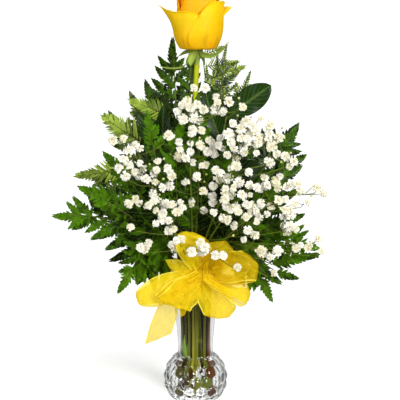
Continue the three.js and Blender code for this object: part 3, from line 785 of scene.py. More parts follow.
def leaflets(shape, plant, roots, ways, lengths, halves, offs, slopes, tints, outline):
    """Many leaflets at once, each from its root along its way, folded along its rib and bent down."""
    u, w = np.array(outline).T
    across = np.array([-1.0, 0.0, 1.0])
    n, rows = len(roots), len(outline)
    sides = np.stack([ways[:, 1], -ways[:, 0]], -1)
    long = lengths[:, None] * u
    wide = halves[:, None] * w
    flat = (
        roots[:, None, None]
        + ways[:, None, None] * long[:, :, None, None]
        + sides[:, None, None] * (wide[:, :, None] * across)[..., None]
    )
    bend = slopes[:, None] * long - 0.9 * long**2 / np.maximum(lengths[:, None], 1) * 0.16
    fold = LEAFLET_FOLD * wide[:, :, None] * np.abs(across)
    grid = place(plant, flat, offs[:, None, None] - bend[:, :, None] - fold)
    half_thick = np.array([0, 0.5 * LEAFLET_THICK, 0])
    both = [(grid - half_thick).reshape(n, -1, 3), (grid + half_thick).reshape(n, -1, 3)]
    points = np.concatenate(both, 1)
    mark = np.stack(np.broadcast_arrays(across[None, None, :], u[None, :, None], tints[:, None, None]), -1)
    mark = np.concatenate([mark.reshape(n, -1, 3)] * 2, 1)
    starts = np.arange(n)[:, None, None] * points.shape[1]
    faces = (np.array(slab_faces(rows, 3))[None] + starts).reshape(-1, 4)
    shape.add(points, faces.tolist(), mark)


def pinna(shape, plant, base, tip, width, arch, random, tone=0.5, off=0.0, form="joined"):
    """One side leaf of a frond: leaflets along a bent rib, which run together at its tip."""
    length, along, side = from_to(base, tip)
    kind = PINNA_FORMS[form]
    count = int(clamp(round(length / kind["gap"]), 4, kind["most"]))
    sag = either_way(0.05, random) * length

    def rib(s):
        s = np.asarray(s, float)
        return base + along * (s * length)[..., None] + side * (sag * np.sin(math.pi * s))[..., None]

    def lift(s):
        return off + arch * np.asarray(s) ** 1.6

    toothed, plain = [], []
    spacing = length * 0.9 / count
    for hand in (1, -1):
        for k in range(count):
            s = mix(0.05, 0.93, (k + (0.3 if hand > 0 else 0.0)) / count)
            reach = width * min(1.0, 0.74 + 1.9 * s) * (1 - s) ** 0.72
            angle = math.radians(mix(*LEAFLET_ANGLES, s) + either_way(5, random))
            way = along * math.cos(angle) + side * hand * math.sin(angle)
            half = min(spacing * mix(0.47, 0.62, s) * kind["slim"], 0.33 * reach + 0.5)
            slope = either_way(0.22, random)
            tint = clamp(tone + either_way(0.36, random), 0, 1)
            row = (rib(s), way, reach / math.cos(0.25), half, lift(s), slope, tint)
            (toothed if reach > TOOTHED_FROM else plain).append(row)
    for rows, outline in ((toothed, TOOTHED), (plain, PLAIN)):
        if rows:
            leaflets(shape, plant, *[np.array(column) for column in zip(*rows)], outline)

    def blade_from(start, half):
        numbers = (length * (1 - start) * 1.02, half, float(lift((1 + start) / 2)), 0.0, tone)
        leaflets(shape, plant, rib([start]), along[None], *[np.array([v]) for v in numbers], TOOTHED)

    if form == "joined":
        blade_from(0.04, width * 0.27)
    blade_from(0.52, width * kind["end"])
    s = np.linspace(0, 0.93, 7)
    tube(shape, place(plant, rib(s), lift(s) - 0.25), np.linspace(0.62, 0.22, 7), 4, 0.5, 1)


def side_leaves(shape, plant, layout, curve, random, more, off):
    """The pairs of side leaves of one frond, with more of them between the pairs and lower down."""
    pairs, bare = layout["pairs"], layout["bare"]
    form, fresh = plant.get("form", "joined"), plant.get("fresh", 1)
    lace = form == "lace"
    step = (TOPMOST_PAIR - bare) / pairs
    low = int(clamp((bare - 0.13) / step * 2, 0, 4))
    for k in range(-low, 2 * pairs):
        share = 0.5 * k / pairs
        own = k >= 0 and k % 2 == 0
        draw = random if own else more
        for hand in (1, -1):
            t = mix(bare, TOPMOST_PAIR, share) + (0.02 if hand > 0 else -0.01)
            base = curve(t)
            way = unit(curve(t + 0.02) - base)
            longest = layout["right"] if hand > 0 else layout["left"]
            length = longest * mix(1, 0.42, max(share, 0) ** 0.9) * mix(0.92, 1.08, draw())
            angle = math.radians(mix(*SIDE_LEAF_ANGLES, share) + either_way(5, draw))
            if not own:
                length *= 0.9 if share >= 0 else 0.7
            tip = base + way * length * math.cos(angle) + right_of(way) * hand * length * math.sin(angle)
            arch = either_way(7, more) + (0 if own else 3)
            # Side leaves low on a frond are darker than those near its tip, and the frond's share of the
            # pale colour darkens all of it: painted shade deep in the bunch and on fronds further back. The
            # rest is random tone.
            tone = clamp(mix(0.05, 0.7, share) + mix(-0.3, 0.4, more()), 0, 1) * fresh
            width = clamp(length * 0.34, 8, 16) * (0.85 if lace else 1)
            pinna(shape, plant, base, tip, width, arch, more, tone, off, form)
    end_width = 7 if lace else 12
    pinna(shape, plant, curve(END_LEAF), curve(1.0), end_width, 0.0, more, 0.7 * fresh, off, form)


def make_frond(name, plant, materials):
    """A frond where the plan has it, and the further fronds and side leaves that lie beside it."""
    shape = Shape()
    curve = curve_above(plant)
    whole_stem(shape, plant, curve, 0.9, 1.35, 1, thin=0.35)
    random, more = seeded(plant["seed"]), seeded(plant["seed"] + 7)
    side_leaves(shape, plant, plant, curve, random, more, 0.0)
    for layout in plant.get("more", []):
        foot = np.array(layout["neck"]) * 0.8
        own = {**layout, "foot": foot}
        bent = curve_above(own)
        off = layout["off"]
        above = place(plant, bent(np.linspace(0.12, 0.9, 11)), off)
        low = foot_and_mouth(own)
        low[0] = (*foot, mix(22, 40, more()))
        line = smooth_line(np.vstack([low, above]), 3)
        tube(shape, line, np.linspace(1.45, 0.5, len(line)), 7, more(), 1)
        side_leaves(shape, plant, layout, bent, more, more, off)
    form = plant.get("form", "comb" if plant["slot"] == LIGHT else "joined")
    tone = PINNA_FORMS[form]["alone"]
    for base, tip, width, off in plant.get("alone", []):
        line = place(plant, np.linspace(curve(0.45), base, 5), 0.5 * off)
        tube(shape, line, np.linspace(0.9, 0.6, 5), 5, 0.5, 1)
        pinna(shape, plant, np.array(base), np.array(tip), width, 0.0, more, tone, off, form)
    return piece(name + "_frond", shape, materials, [name])


def frond(neck, bend, tip, bare, pairs, left, right, **also):
    """Where a frond lies.

    Its neck is in X and Y, and the bend and tip of its stem in X and Z. `bare` is the share of the stem
    without pairs of side leaves, and left and right are the lengths of the lowest ones. `off` is how far a
    further frond lies off the plane. `alone` are further side leaves: (base, tip, width, off the plane).
    """
    return dict(neck=neck, bend=bend, tip=tip, bare=bare, pairs=pairs, left=left, right=right, **also)


DARK, LIGHT = "dark_fern", "light_fern"
# Most fronds that lean back get a lower share of the pale leaf colour, which paints shade on them.
FRONDS = {
    "fern_left_low": frond(
        (-13.2, -5.6), (-40, 209), (-86, 124), 0.36, 3, 52, 40, lean=-0.13, slot=DARK,
        alone=[
            ((-41, 184), (-44, 124), 15, -5), ((-29.5, 188), (-31, 136), 12, -9),
            ((-60, 178), (-61, 136), 14, -4), ((-40, 198), (-53, 150), 14, -6),
            ((-35, 190), (-46, 142), 13, -8), ((-36, 197), (-38, 130), 13, -3),
        ],
        more=[
            frond((-11, -2.4), (-60, 212), (-127, 243), 0.42, 4, 30, 34, off=3),
            frond((-4.6, -4.8), (-30, 230), (-14, 322), 0.3, 5, 44, 34, off=-2),
            frond((-7, 1.2), (-44, 222), (-99, 282), 0.3, 4, 40, 26, off=1),
            frond((-9.4, -8.4), (-38, 240), (-52, 326), 0.34, 4, 26, 40, off=4),
        ],
    ),
    "fern_right_low": frond(
        (13.2, -5.6), (40, 209), (84, 113), 0.36, 3, 40, 52, lean=-0.13, slot=DARK,
        alone=[
            ((82, 158), (137, 169), 15, -4), ((88, 150), (113, 143), 10, -5),
            ((64, 160), (95, 137), 13, -7), ((72, 214), (112, 241), 15, 2),
            ((80, 202), (118, 214), 14, 1), ((62, 226), (92, 252), 13, 3),
        ],
        more=[
            frond((1.0, -6.4), (30, 225), (30, 304), 0.3, 5, 36, 44, off=-2),
            frond((9, -7.8), (42, 205), (94, 246), 0.3, 4, 40, 40, off=1),
            frond((-1.6, -5.2), (6, 240), (4, 344), 0.24, 5, 38, 38, off=-5),
            frond((13, -1.8), (52, 200), (112, 196), 0.34, 4, 36, 36, off=4),
        ],
    ),
    "fern_left_side": frond((-9.6, -2.2), (-70, 214), (-157, 209), 0.26, 4, 56, 54, lean=-0.03, slot=DARK),
    "fern_right_side": frond((10.2, -2.6), (60, 200), (138, 170), 0.26, 4, 54, 44, lean=-0.03, slot=DARK),
    "fern_left_middle": frond(
        (-8, 5.6), (-50, 235), (-128, 252), 0.26, 4, 48, 48, lean=0.12, slot=LIGHT, fresh=0.35,
        alone=[((-74.0, 259.0), (-137.0, 248.0), 21, -6)],
    ),
    "fern_right_middle": frond(
        (8, 5.8), (50, 245), (115, 306), 0.26, 4, 56, 66, lean=0.12, slot=DARK, fresh=0.2,
        alone=[
            ((88, 270), (114, 304), 16, -6), ((90, 254), (123, 272), 15, -7),
            ((84, 240), (118, 261), 15, -8),
        ],
        more=[frond((5, 4.8), (24, 260), (56, 344), 0.3, 4, 44, 44, off=2)],
    ),
    "fern_left_upper": frond(
        (-3.6, 8.6), (-45, 250), (-98, 318), 0.28, 4, 46, 48, lean=0.2, slot=LIGHT, fresh=0.3,
        alone=[((-58.0, 284.0), (-105.0, 316.0), 27, -10), ((-29.0, 312.0), (-77.0, 330.0), 19, -10)],
        more=[frond((-4.2, 3.6), (-36, 268), (-74, 340), 0.4, 4, 40, 36, off=-3)],
    ),
    "fern_left_tall": frond(
        (-1, 12.4), (-25, 300), (-25, 399), 0.36, 4, 66, 42, lean=0.27, slot=DARK, fresh=0.5,
        more=[
            frond((-5.4, 12.6), (-30, 270), (-58, 352), 0.3, 4, 50, 46, off=-3),
            frond((0.4, 8.4), (-8, 290), (-5, 394), 0.34, 5, 46, 34, off=3),
        ],
    ),
    "fern_right_tall": frond(
        (4.6, 10), (22, 300), (36, 394), 0.36, 4, 42, 52, lean=0.2, slot=LIGHT, form="lace", fresh=0.5,
        alone=[
            ((19, 354), (58, 367), 15, 0), ((12, 367), (51, 373), 13, 3), ((8, 379), (35, 389), 12, -2),
            ((26, 344), (44, 361), 11, 2),
        ],
        more=[
            frond((8.6, 10.2), (26, 270), (20, 366), 0.44, 4, 30, 44, off=3),
            frond((0.6, 4.6), (34, 300), (62, 364), 0.5, 4, 34, 30, off=-3),
            frond((2.6, 6.8), (14, 300), (24, 384), 0.5, 4, 24, 40, off=6),
            frond((6.4, 7.4), (16, 290), (12, 372), 0.5, 4, 20, 34, off=-6),
        ],
    ),
    "fern_back": frond(
        (3.6, 14), (10, 270), (20, 330), 0.26, 4, 62, 62, lean=0.47, slot=DARK,
        more=[
            frond((-8.6, 9.2), (-30, 250), (-74, 300), 0.26, 4, 50, 50, off=3),
            frond((11.6, 7), (40, 240), (84, 280), 0.26, 4, 50, 50, off=3),
        ],
    ),
}


# Glossy leaves


def glossy_leaf(shape, plant, base, tip, width, blunt, random, forward):
    """A smooth leaf, cupped across and bent along, with a raised rib behind. It may arch `forward`."""
    rows, columns = 23, 9
    length, along, side = from_to(base, tip)
    u = np.linspace(0, 1, rows)
    v = np.linspace(-1, 1, columns)
    half = 0.5 * width * np.sin(math.pi * u ** mix(0.8, 1.25, blunt)) ** mix(0.85, 0.62, blunt)
    half = np.maximum(half, 0.5 * np.minimum(1, (1 - u) * 12) + 0.02)
    flat = base + along * (u * length)[:, None, None] + side * (half[:, None] * v)[..., None]
    lean = either_way(0.05, random) * length
    flat = flat + side * (lean * np.sin(math.pi * u))[:, None, None]
    ripple = 0.5 * np.sin(u * 17 + 5 * random())[:, None] * np.abs(v) ** 2 * np.sign(v)
    cup = -3.4 * (half / width)[:, None] * np.abs(v) ** 1.4
    arch = -forward * np.sin(0.5 * math.pi * np.minimum(u / 0.45, 1))
    bend = (mix(-4, 3, random()) * u**2 + arch)[:, None] + 0 * v
    slab(shape, place(plant, flat, cup + ripple + bend), 0.45, grid_marks(v, u, mix(0.2, 0.8, random())))
    line = flat[:, columns // 2][::2]
    tube(shape, place(plant, line, bend[::2, 0] + 0.25), np.linspace(0.75, 0.25, len(line)), 5, 0.5, 1)


# Each leaf: the share of the stem at which it starts, its tip, its width, how blunt it is, and how far it
# arches forward
SPRIGS = {
    "leaves_right": dict(neck=(11.6, 2.2), lean=0.045, bend=(20, 250), tip=(34, 316), leaves=[
        (0.97, (82, 349), 29, 1.0, 0), (0.8, (10, 350), 20, 0.3, 0), (0.5, (76, 262), 26, 0.4, 0),
        (0.3, (66, 214), 24, 0.3, 0), (0.62, (-23, 309), 17, 0.1, 15), (0.9, (14, 352), 13, 0.2, 0),
    ]),
    "leaves_left": dict(neck=(-11.6, 2), lean=0.045, bend=(-28, 240), tip=(-36, 284), leaves=[
        (0.97, (-62, 318), 25, 0.4, 0), (0.72, (-14, 306), 20, 0.3, 0), (0.45, (-76, 250), 26, 0.3, 0),
        (0.25, (-66, 205), 24, 0.2, 0), (0.6, (-24, 250), 20, 0.3, 4), (0.85, (-34, 330), 17, 0.3, 5),
    ]),
}


def make_sprig(name, plant, materials):
    shape = Shape()
    curve = curve_above(plant)
    random = seeded(plant["seed"])
    whole_stem(shape, plant, curve, 1.0, 1.8, 1)
    for start, tip, width, blunt, forward in plant["leaves"]:
        glossy_leaf(shape, plant, curve(start), np.array(tip, float), width, blunt, random, forward)
    return piece(name + "_sprig", shape, materials, [name])


# Gypsophila

# (petals, reach, rise, tilt) of each ring of a double floret that is one unit across
RINGS = [(7, 0.55, 0.19, 0), (7, 0.50, 0.21, 24), (6, 0.40, 0.25, 46), (4, 0.29, 0.28, 68)]


FLORET_SIZES = (6.8, 9.6)
BUD_SIZES = (2.4, 3.4)
# A petal's steps along it, with its half width at each and how deep the notch in its tip is
PETAL_STEPS = np.array([0.0, 0.5, 0.85, 1.0])
PETAL_HALF = np.array([0.03, 0.12, 0.17, 0.12])
PETAL_NOTCH = np.array([0, 0, 0, 0.1])


def floret_form(seed):
    """A ruffled double floret that faces +Z, with its stalk's end at the origin."""
    random = seeded(seed)
    form = Shape()
    t = PETAL_STEPS[:, None]
    v = np.array([-1.0, 0.0, 1.0])
    up = np.array([0.0, 0.0, 1.0])
    for ring, (petals, reach, rise, tilt) in enumerate(RINGS):
        for k in range(petals):
            turn = FULL_TURN * (k + 0.5 * ring + either_way(0.22, random)) / petals
            slope = math.radians(tilt + either_way(12, random))
            far = reach * mix(0.72, 1.14, random())
            out = np.array([math.cos(turn), math.sin(turn), 0.0])
            side = np.array([-out[1], out[0], 0.0])
            run = far * (t - PETAL_NOTCH[:, None] * (np.abs(v) < 0.5))
            ruffle = mix(0.03, 0.10, random()) * np.sin(math.pi * v + 6 * random())[None] * t
            curl = -0.14 * t**2 + 0.05 * np.abs(v) * t
            grid = (
                out * (run * math.cos(slope))[..., None]
                + side * (PETAL_HALF[:, None] * v * mix(0.9, 1.25, random()))[..., None]
                + up * (rise + run * math.sin(slope) + curl * far * 2 + ruffle)[..., None]
            )
            slab(form, grid, 0.022, grid_marks(v, PETAL_STEPS, random()), 0)
    lathe(form, [(0.0, 0.045), (0.07, 0.10), (0.20, 0.13), (0.25, 0.10)], 7, 1)
    return form.packed()


def bud_form():
    """A closed bud in its green cup, one unit long."""
    form = Shape()
    lathe(form, [(0.0, 0.10), (0.10, 0.30), (0.26, 0.38)], 8, 1)
    lathe(form, [(0.22, 0.36), (0.42, 0.44), (0.66, 0.38), (0.84, 0.16)], 8, 0)
    return form.packed()


def set_form(shape, form, at, facing, size, spin, tint):
    """Puts a floret or bud at a point, facing a way."""
    points, faces, marks, kinds = form
    facing = unit(facing)
    across = unit(np.cross((0.1, 0.2, 1.0), facing))
    up = np.cross(facing, across)
    a = across * math.cos(spin) + up * math.sin(spin)
    b = np.cross(facing, a)
    marks = np.concatenate([marks[:, :2], np.full((len(marks), 1), tint)], 1)
    shape.add(points * size @ np.stack([a, b, facing]) + at, faces, marks, kinds)


def twig(shape, root, end, bow, thick=0.42):
    """A thin twig between two points, whose middle is bowed by `bow`."""
    middle = (np.asarray(root) + np.asarray(end)) / 2 + bow
    line = smooth_line([root, middle, end], 3)
    tube(shape, line, np.linspace(thick * 1.1, thick * 0.75, len(line)), 5, 0.5, 2)


def make_spray(name, plant, materials, forms, bud):
    """A branched stalk with the plan's florets, smaller ones and buds beside them, and further heads."""
    shape = Shape()
    curve = curve_above(plant)
    random, more = seeded(plant["seed"]), seeded(plant["seed"] + 5)
    bare, twigs, front = plant["bare"], plant["twigs"], plant["facing"]
    whole_stem(shape, plant, curve, mix(bare, 1, 1 - 0.4 / twigs), 1.0, 2, 6, thin=0.32)

    def bloom(root, end, way, share=1.0, draw=random):
        """A floret on a twig that leans towards a flat way."""
        facing = np.array([way[0] * 0.5 + either_way(0.5, draw), front, way[1] * 0.5 + 0.2])
        size = mix(*FLORET_SIZES, draw()) * share
        twig(shape, root, end, np.array([either_way(reach, more) for reach in (1.5, 1, 1.5)]))
        form = forms[int(more() * len(forms)) % len(forms)]
        set_form(shape, form, end, facing, size * 1.12, phase(more), more())

    def bud_beside(root, at):
        """A bud on a twig of its own, near a floret."""
        a = FULL_TURN * more()
        off = np.array([math.cos(a) * 9, either_way(3, more), math.sin(a) * 9])
        twig(shape, root, at + off, np.zeros(3), 0.3)
        size = mix(*BUD_SIZES, more())
        set_form(shape, bud, at + off, off + np.array([0, 4.0 * front, 3]), size, 0, more())

    def companion(root, end, way):
        """A smaller floret beside some of the large ones, and a bud beside some of those."""
        if more() < 0.4:
            return
        a = FULL_TURN * more()
        off = np.array([math.cos(a), 0.3 * either_way(1, more), math.sin(a)]) * mix(8.0, 13.0, more())
        bloom(mix(root, end, 0.55), end + off, way, mix(0.75, 1.0, more()), more)
        if more() < 0.5:
            bud_beside(mix(root, end, 0.4), end)

    def head(x, z, wide, tall, count, off=0.0):
        """A loose head of florets: a branch from the stem to its foot, and a twig to each floret."""
        middle = np.array([x, z], float)
        on_stem = curve(np.linspace(0.2, 0.96, 40))
        steep = np.maximum(on_stem[:, 1] - (z - 0.8 * tall) + 10, 0)
        nearest = on_stem[np.argmin(np.linalg.norm(on_stem - middle, axis=1) + 2 * steep)]
        hub = place(plant, middle - (0.12 * (x - nearest[0]), 0.7 * tall + 3), 0.8 * off)
        bow = np.array([either_way(3, more), 0.3 * off, mix(-4, 0, more())])
        twig(shape, place(plant, nearest), hub, bow, 0.5)
        spots = []
        for _ in range(count):
            tries = []
            for _ in range(5):
                a, r = FULL_TURN * more(), math.sqrt(more())
                tries.append(middle + (wide * r * math.cos(a), tall * r * math.sin(a)))
            gaps = [min([math.dist(p, q) for q in spots] or [0]) for p in tries]
            spot = tries[int(np.argmax(np.minimum(gaps, 9)))]
            spots.append(spot)
            end = place(plant, spot, off + either_way(5, more))
            fork = mix(hub, end, mix(0.0, 0.3, more()))
            bloom(fork, end, unit(spot - middle + (0, 2)), mix(0.9, 1.14, more()), more)
            if more() < 0.3:
                bud_beside(mix(fork, end, 0.5), end)

    for i in range(twigs):
        share = (i + 0.5) / twigs
        t = mix(bare, 1, share)
        root = curve(t)
        way = unit(curve(t + 0.02) - curve(t - 0.02))
        side = right_of(way) * (1 if i % 2 else -1)
        angle = math.radians(mix(20, 75, random()) * mix(1, 0.5, share))
        length = plant["spread"] * mix(0.55, 1, random())
        thick = plant["thick"] * clamp(t, 0.2, 1)
        out = way * math.cos(angle) + side * math.sin(angle)
        far = root + out * length
        near = root + out * length * 0.5 + way * length * mix(0.25, 0.5, random())
        near = near - side * length * mix(0.15, 0.4, random())
        root_at = place(plant, root)
        far_at = place(plant, far, thick * either_way(1, random))
        near_at = place(plant, near, thick * either_way(1, random))
        bloom(root_at, far_at, out)
        bloom(mix(root_at, far_at, 0.3), near_at, out)
        companion(root_at, far_at, out)
    for one in plant["heads"]:
        head(*one)
    return piece(name + "_spray", shape, materials, [name])


def spray(neck, bend, tip, lean, bare, twigs, spread, thick, heads, facing=-1):
    """Where a spray lies. It faces the front, or with 1 the back.

    `bare` is the share of its stem without twigs, `spread` their length and `thick` how far they stand off
    the plane. `heads` are further heads: (x, z, half width, half height, florets, how far off the plane).
    """
    return dict(
        neck=neck, bend=bend, tip=tip, lean=lean, bare=bare, twigs=twigs, spread=spread, thick=thick,
        heads=heads, facing=facing,
    )


SPRAYS = {
    "gypsophila_left": spray((-6.4, -11.6), (-36, 240), (-70, 292), -0.25, 0.34, 5, 30, 6, [
        (-74, 266, 7, 11, 5), (-53, 261, 9, 6, 3), (-30, 262, 10, 6, 3), (-48, 243, 18, 10, 3),
        (-57, 287, 3, 3, 1), (-28, 299, 3, 3, 1), (-40, 228, 12, 8, 2),
    ]),
    "gypsophila_left_low": spray((-2.2, -14.6), (-26, 215), (-58, 232), -0.42, 0.4, 3, 22, 5, [
        (-23, 220, 13, 10, 5), (-67, 206, 3, 3, 1), (-24, 200, 4, 3, 2), (-52, 182, 5, 5, 3),
        (-24, 179, 4, 4, 2), (-17, 192, 3, 2, 2, -22), (-3, 182, 2, 2, 1, -30), (7, 185, 3, 6, 4, -30),
    ]),
    "gypsophila_centre": spray((-1.6, -10), (-6, 260), (-6, 336), -0.15, 0.34, 6, 28, 5, [
        (-6, 325, 15, 13, 10), (26, 333, 9, 9, 5), (47, 330, 2, 2, 1), (15, 288, 11, 9, 7),
        (-14, 282, 9, 7, 4), (12, 256, 17, 12, 5), (8, 229, 14, 12, 4), (30, 296, 10, 9, 3),
    ]),
    "gypsophila_right": spray((1.4, -11.8), (24, 230), (52, 292), -0.27, 0.3, 6, 30, 6, [
        (46, 297, 22, 20, 16), (69, 302, 16, 13, 8), (84, 286, 13, 14, 6), (37, 257, 15, 14, 5),
        (99, 275, 5, 5, 3), (56, 318, 12, 7, 4),
    ]),
    "gypsophila_right_front": spray((0.8, -14.4), (26, 214), (52, 244), -0.44, 0.35, 4, 24, 6, [
        (50, 209, 16, 13, 5), (62, 188, 13, 8, 3), (36, 230, 10, 7, 3), (80, 178, 10, 6, 3),
        (25, 176, 4, 2, 2, -28), (46, 167, 2, 2, 1, -26),
    ]),
    "gypsophila_right_out": spray((9.2, -10.4), (56, 225), (114, 240), -0.2, 0.3, 6, 30, 5, [
        (72, 250, 8, 8, 3), (92, 250, 9, 9, 5), (76, 221, 16, 9, 4), (98, 210, 11, 14, 7),
        (129, 245, 2, 2, 1), (118, 229, 2, 2, 1), (133, 188, 2, 2, 1), (135, 176, 2, 2, 1),
        (113, 182, 8, 4, 4), (85, 150, 2, 2, 1),
    ]),
    "gypsophila_back_left": spray((-9.4, 10.6), (-26, 240), (-40, 300), 0.34, 0.34, 4, 28, 6, [
        (-30, 290, 22, 24, 13), (-14, 240, 22, 18, 6),
    ], facing=1),
    "gypsophila_back_right": spray((9.8, 11), (40, 225), (84, 262), 0.34, 0.34, 4, 28, 6, [
        (60, 262, 26, 20, 12), (24, 300, 20, 20, 6),
    ], facing=1),
}


# Rose

ROSE_X = 1.8
BLOOM_X = ROSE_X + 0.9
ROSE_BASE_Z = 389.0
HEART_TURNS = 3.1
PETAL_THICK = (1.6, 0.5)
CORE_LINE = [(0.3, 6.6), (3, 12), (8, 15), (16, 16.5), (30, 15.5), (40, 11), (44, 4)]


def petal(turn, spread, radius, tops, bends, **also):
    """A petal's numbers. Its heights and outward bends are at its left edge, middle and right edge."""
    return dict(turn=turn, spread=spread, radius=radius, tops=tops, bends=bends, **also)


PETALS = [
    petal(-150, 150, 18.6, (447, 455, 447), (0, 0, 0), inner=0.9),
    petal(-30, 150, 19.0, (448, 456, 448), (0, 0, 0), inner=0.9),
    petal(90, 150, 18.8, (447, 455, 447), (0, 0.5, 0), inner=0.9),
    petal(40, 140, 22.4, (446, 452, 445), (1, 2, 1), inner=0.7),
    petal(160, 130, 21.4, (446, 449, 443), (1, 3.5, 1), inner=0.7),
    petal(-82, 150, 23.0, (447, 456, 447), (0, 0, 0), inner=0.65),
    petal(98, 130, 25.4, (440, 447, 440), (4, 5, 4), inner=0.2),
    petal(184, 100, 25.2, (424, 431, 420), (1, 5, 1), inner=0.3),
    petal(12, 104, 25.8, (424, 439, 428), (0, 11, 2), inner=0.25, start=0.78, droop=6),
    petal(-128, 128, 26.4, (439, 429, 427.5), (15.5, 2, 0), start=0.44, corner=3),
    petal(-50, 124, 27.3, (424, 439.5, 440), (0, 0.8, 1.4), corner=1.5),
]


def from_middle(across, sides, power):
    """A value over the width of a petal, from those at its left edge, its middle and its right edge."""
    left, middle, right = sides
    return middle + np.where(across < 0, left - middle, right - middle) * np.abs(across) ** power


def make_petal(
    shape, seed, turn, spread, radius, tops, bends, start=0.62, inner=0.0, droop=0.0, corner=4.0
):
    """A petal that comes out from under the bud, wraps it about `turn` and bends outwards above `start`."""
    rows, columns = 27, 29
    random = seeded(900 + seed)
    t = np.linspace(0, 1, rows)[:, None] ** 1.15
    across = np.linspace(-1, 1, columns)[None]
    under = 0.07
    rise = np.clip((t - under) / (1 - under), 0, 1)
    narrow = 0.62 + 0.38 * np.sin(math.pi * np.minimum(0.15 + 0.85 * t, 1) ** 0.8)
    sway = 0.035 * np.sin(3.1 * across + phase(random)) * t
    a = math.radians(turn) + across * math.radians(spread / 2) * narrow + sway
    full = 1 - (1 - np.clip(rise / 0.62, 0, 1)) ** 2.6
    belly = np.where(t < under, 0.30 + 0.40 * (t / under) ** 0.8, 0.70 + 0.30 * full)
    above = np.maximum(t - start, 0) / (1 - start)
    r = radius * belly - 1.6 * inner * above**2 + from_middle(across, bends, 1.25) * above**1.6
    r = r + 0.55 * np.sin(4.4 * across + phase(random)) * t**3
    roll = np.clip((t - 0.94) / 0.06, 0, 1)
    r = r + 1.2 * roll
    height = from_middle(across, tops, 2.6 if tops[0] > tops[1] else 1.8)
    height = height - corner * across**8 - ROSE_BASE_Z - 0.2
    ripple = 0.5 * np.sin(3.6 * across + phase(random)) * t**4
    z = ROSE_BASE_Z + 0.2 + height * rise + ripple - 0.9 * roll**2 - droop * above**3 * (1 - across**2)
    grid = np.stack([BLOOM_X + r * np.cos(a), r * np.sin(a), z], -1)
    thickness = mix(*PETAL_THICK, np.minimum(1, 1.6 * t)) + 0 * across
    slab(shape, grid, thickness, np.stack(np.broadcast_arrays(across, t, inner), -1))


def rose_heart(shape):
    """The core of the bud, and the rolled petal inside it that winds round as a spiral."""
    lathe(shape, [(ROSE_BASE_Z + z, r) for z, r in CORE_LINE], 32)
    shape.points[-1][:, 0] += ROSE_X
    shape.marks[-1] = shape.marks[-1] * 0 + np.array([0, 0.2, 0.9])
    s = np.linspace(0, 1, 100)[None]
    t = np.linspace(0, 1, 9)[:, None]
    a = FULL_TURN * HEART_TURNS * s + 0.6
    r = mix(1.2, 14.5, s**0.8) + 1.6 * np.sin(a * 1.5) * s - 2.2 * t * s
    top = mix(62.5, 60.0, s) + 1.6 * np.sin(a * 1.5 + 1)
    z = ROSE_BASE_Z + mix(26, top, t)
    grid = np.stack([BLOOM_X + r * np.cos(a), r * np.sin(a), z], -1)
    slab(shape, grid, 0.5, np.stack(np.broadcast_arrays(2 * s - 1, mix(0.3, 0.9, t), 1.0), -1))


def make_rose(material):
    shape = Shape()
    rose_heart(shape)
    for k, one in enumerate(PETALS):
        make_petal(shape, k, **one)
    return piece("rose_petals", shape, [material], ["rose_bloom"], sharp=60)


ROSE = dict(neck=(5, 0.4), foot=(11, 1.2), mouth=(0.6, -0.6))
ROSE_STEM_RADIUS = 2.75
RECEPTACLE_LINE = [(-17, 2.7), (-12, 3.1), (-9.5, 4.4), (-6, 6.2), (-2.5, 6.6), (0, 6.2)]
ROSE_NODES_Z = (66, 205, 285)
# The sepals and a small leaf in the water: (path, half widths along it, the way across it, tint)
NARROW_LEAVES = [
    ([(-1, -6.3, 387), (-3, -9.2, 381.5), (-4.6, -10.4, 376), (-5, -10.2, 371.5)],
     [3.4, 4.7, 3.4, 0.3], (1, -0.35, 0.25), 0.95),
    ([(-4, -4.6, 386.5), (-7.5, -7.4, 379), (-9.5, -8, 373.5), (-14, -7.5, 369.6), (-22, -5, 368.2),
      (-31, -2, 368.6), (-38, 0, 370.5)],
     [2.4, 2.6, 1.8, 1.3, 1.1, 0.9, 0.2], (0.5, -0.5, 0.7), 0.6),
    ([(3, -6.2, 387), (9, -9.4, 383.4), (16, -9.5, 382), (24, -7, 385), (31, -4, 391), (36, -2, 396.5)],
     [2.2, 3.6, 2.9, 2.2, 1.4, 0.2], (0.1, -0.6, 0.8), 0.5),
    ([(4, 4.4, 386.5), (7.6, 6.5, 380), (10.4, 6, 371)], [2.4, 2.2, 0.3], (0.9, 0, 0.4), 0.0),
    ([(-3, 5.4, 387), (-11, 8, 385), (-18, 6.5, 380.5)], [2.6, 2.2, 0.3], (0.2, 0.4, 0.9), 0.15),
    ([(7, -2.4, 28), (-3, -8, 38), (-8.5, -9.8, 48), (-10.8, -9.6, 60), (-11.4, -9, 75)],
     [0.8, 2.2, 3.4, 3.4, 0.3], (1, -0.2, 0.1), 0.1),
]


def narrow_leaf(shape, path, halves, across, tint):
    """A narrow leaf along a path, cupped across."""
    line = smooth_line(path, 6)
    v = np.linspace(-1, 1, 5)
    half = np.interp(np.linspace(0, len(halves) - 1, len(line)), range(len(halves)), halves)[:, None]
    way = unit(np.gradient(line, axis=0))
    wide = unit(np.cross(np.cross(way, unit(across)), way))
    normal = np.cross(way, wide)
    grid = line[:, None] + wide[:, None] * (half * v)[..., None]
    grid = grid + normal[:, None] * (0.25 * half * v**2)[..., None]
    slab(shape, grid, 0.45, grid_marks(v, np.linspace(0, 1, len(line)), tint), 1)


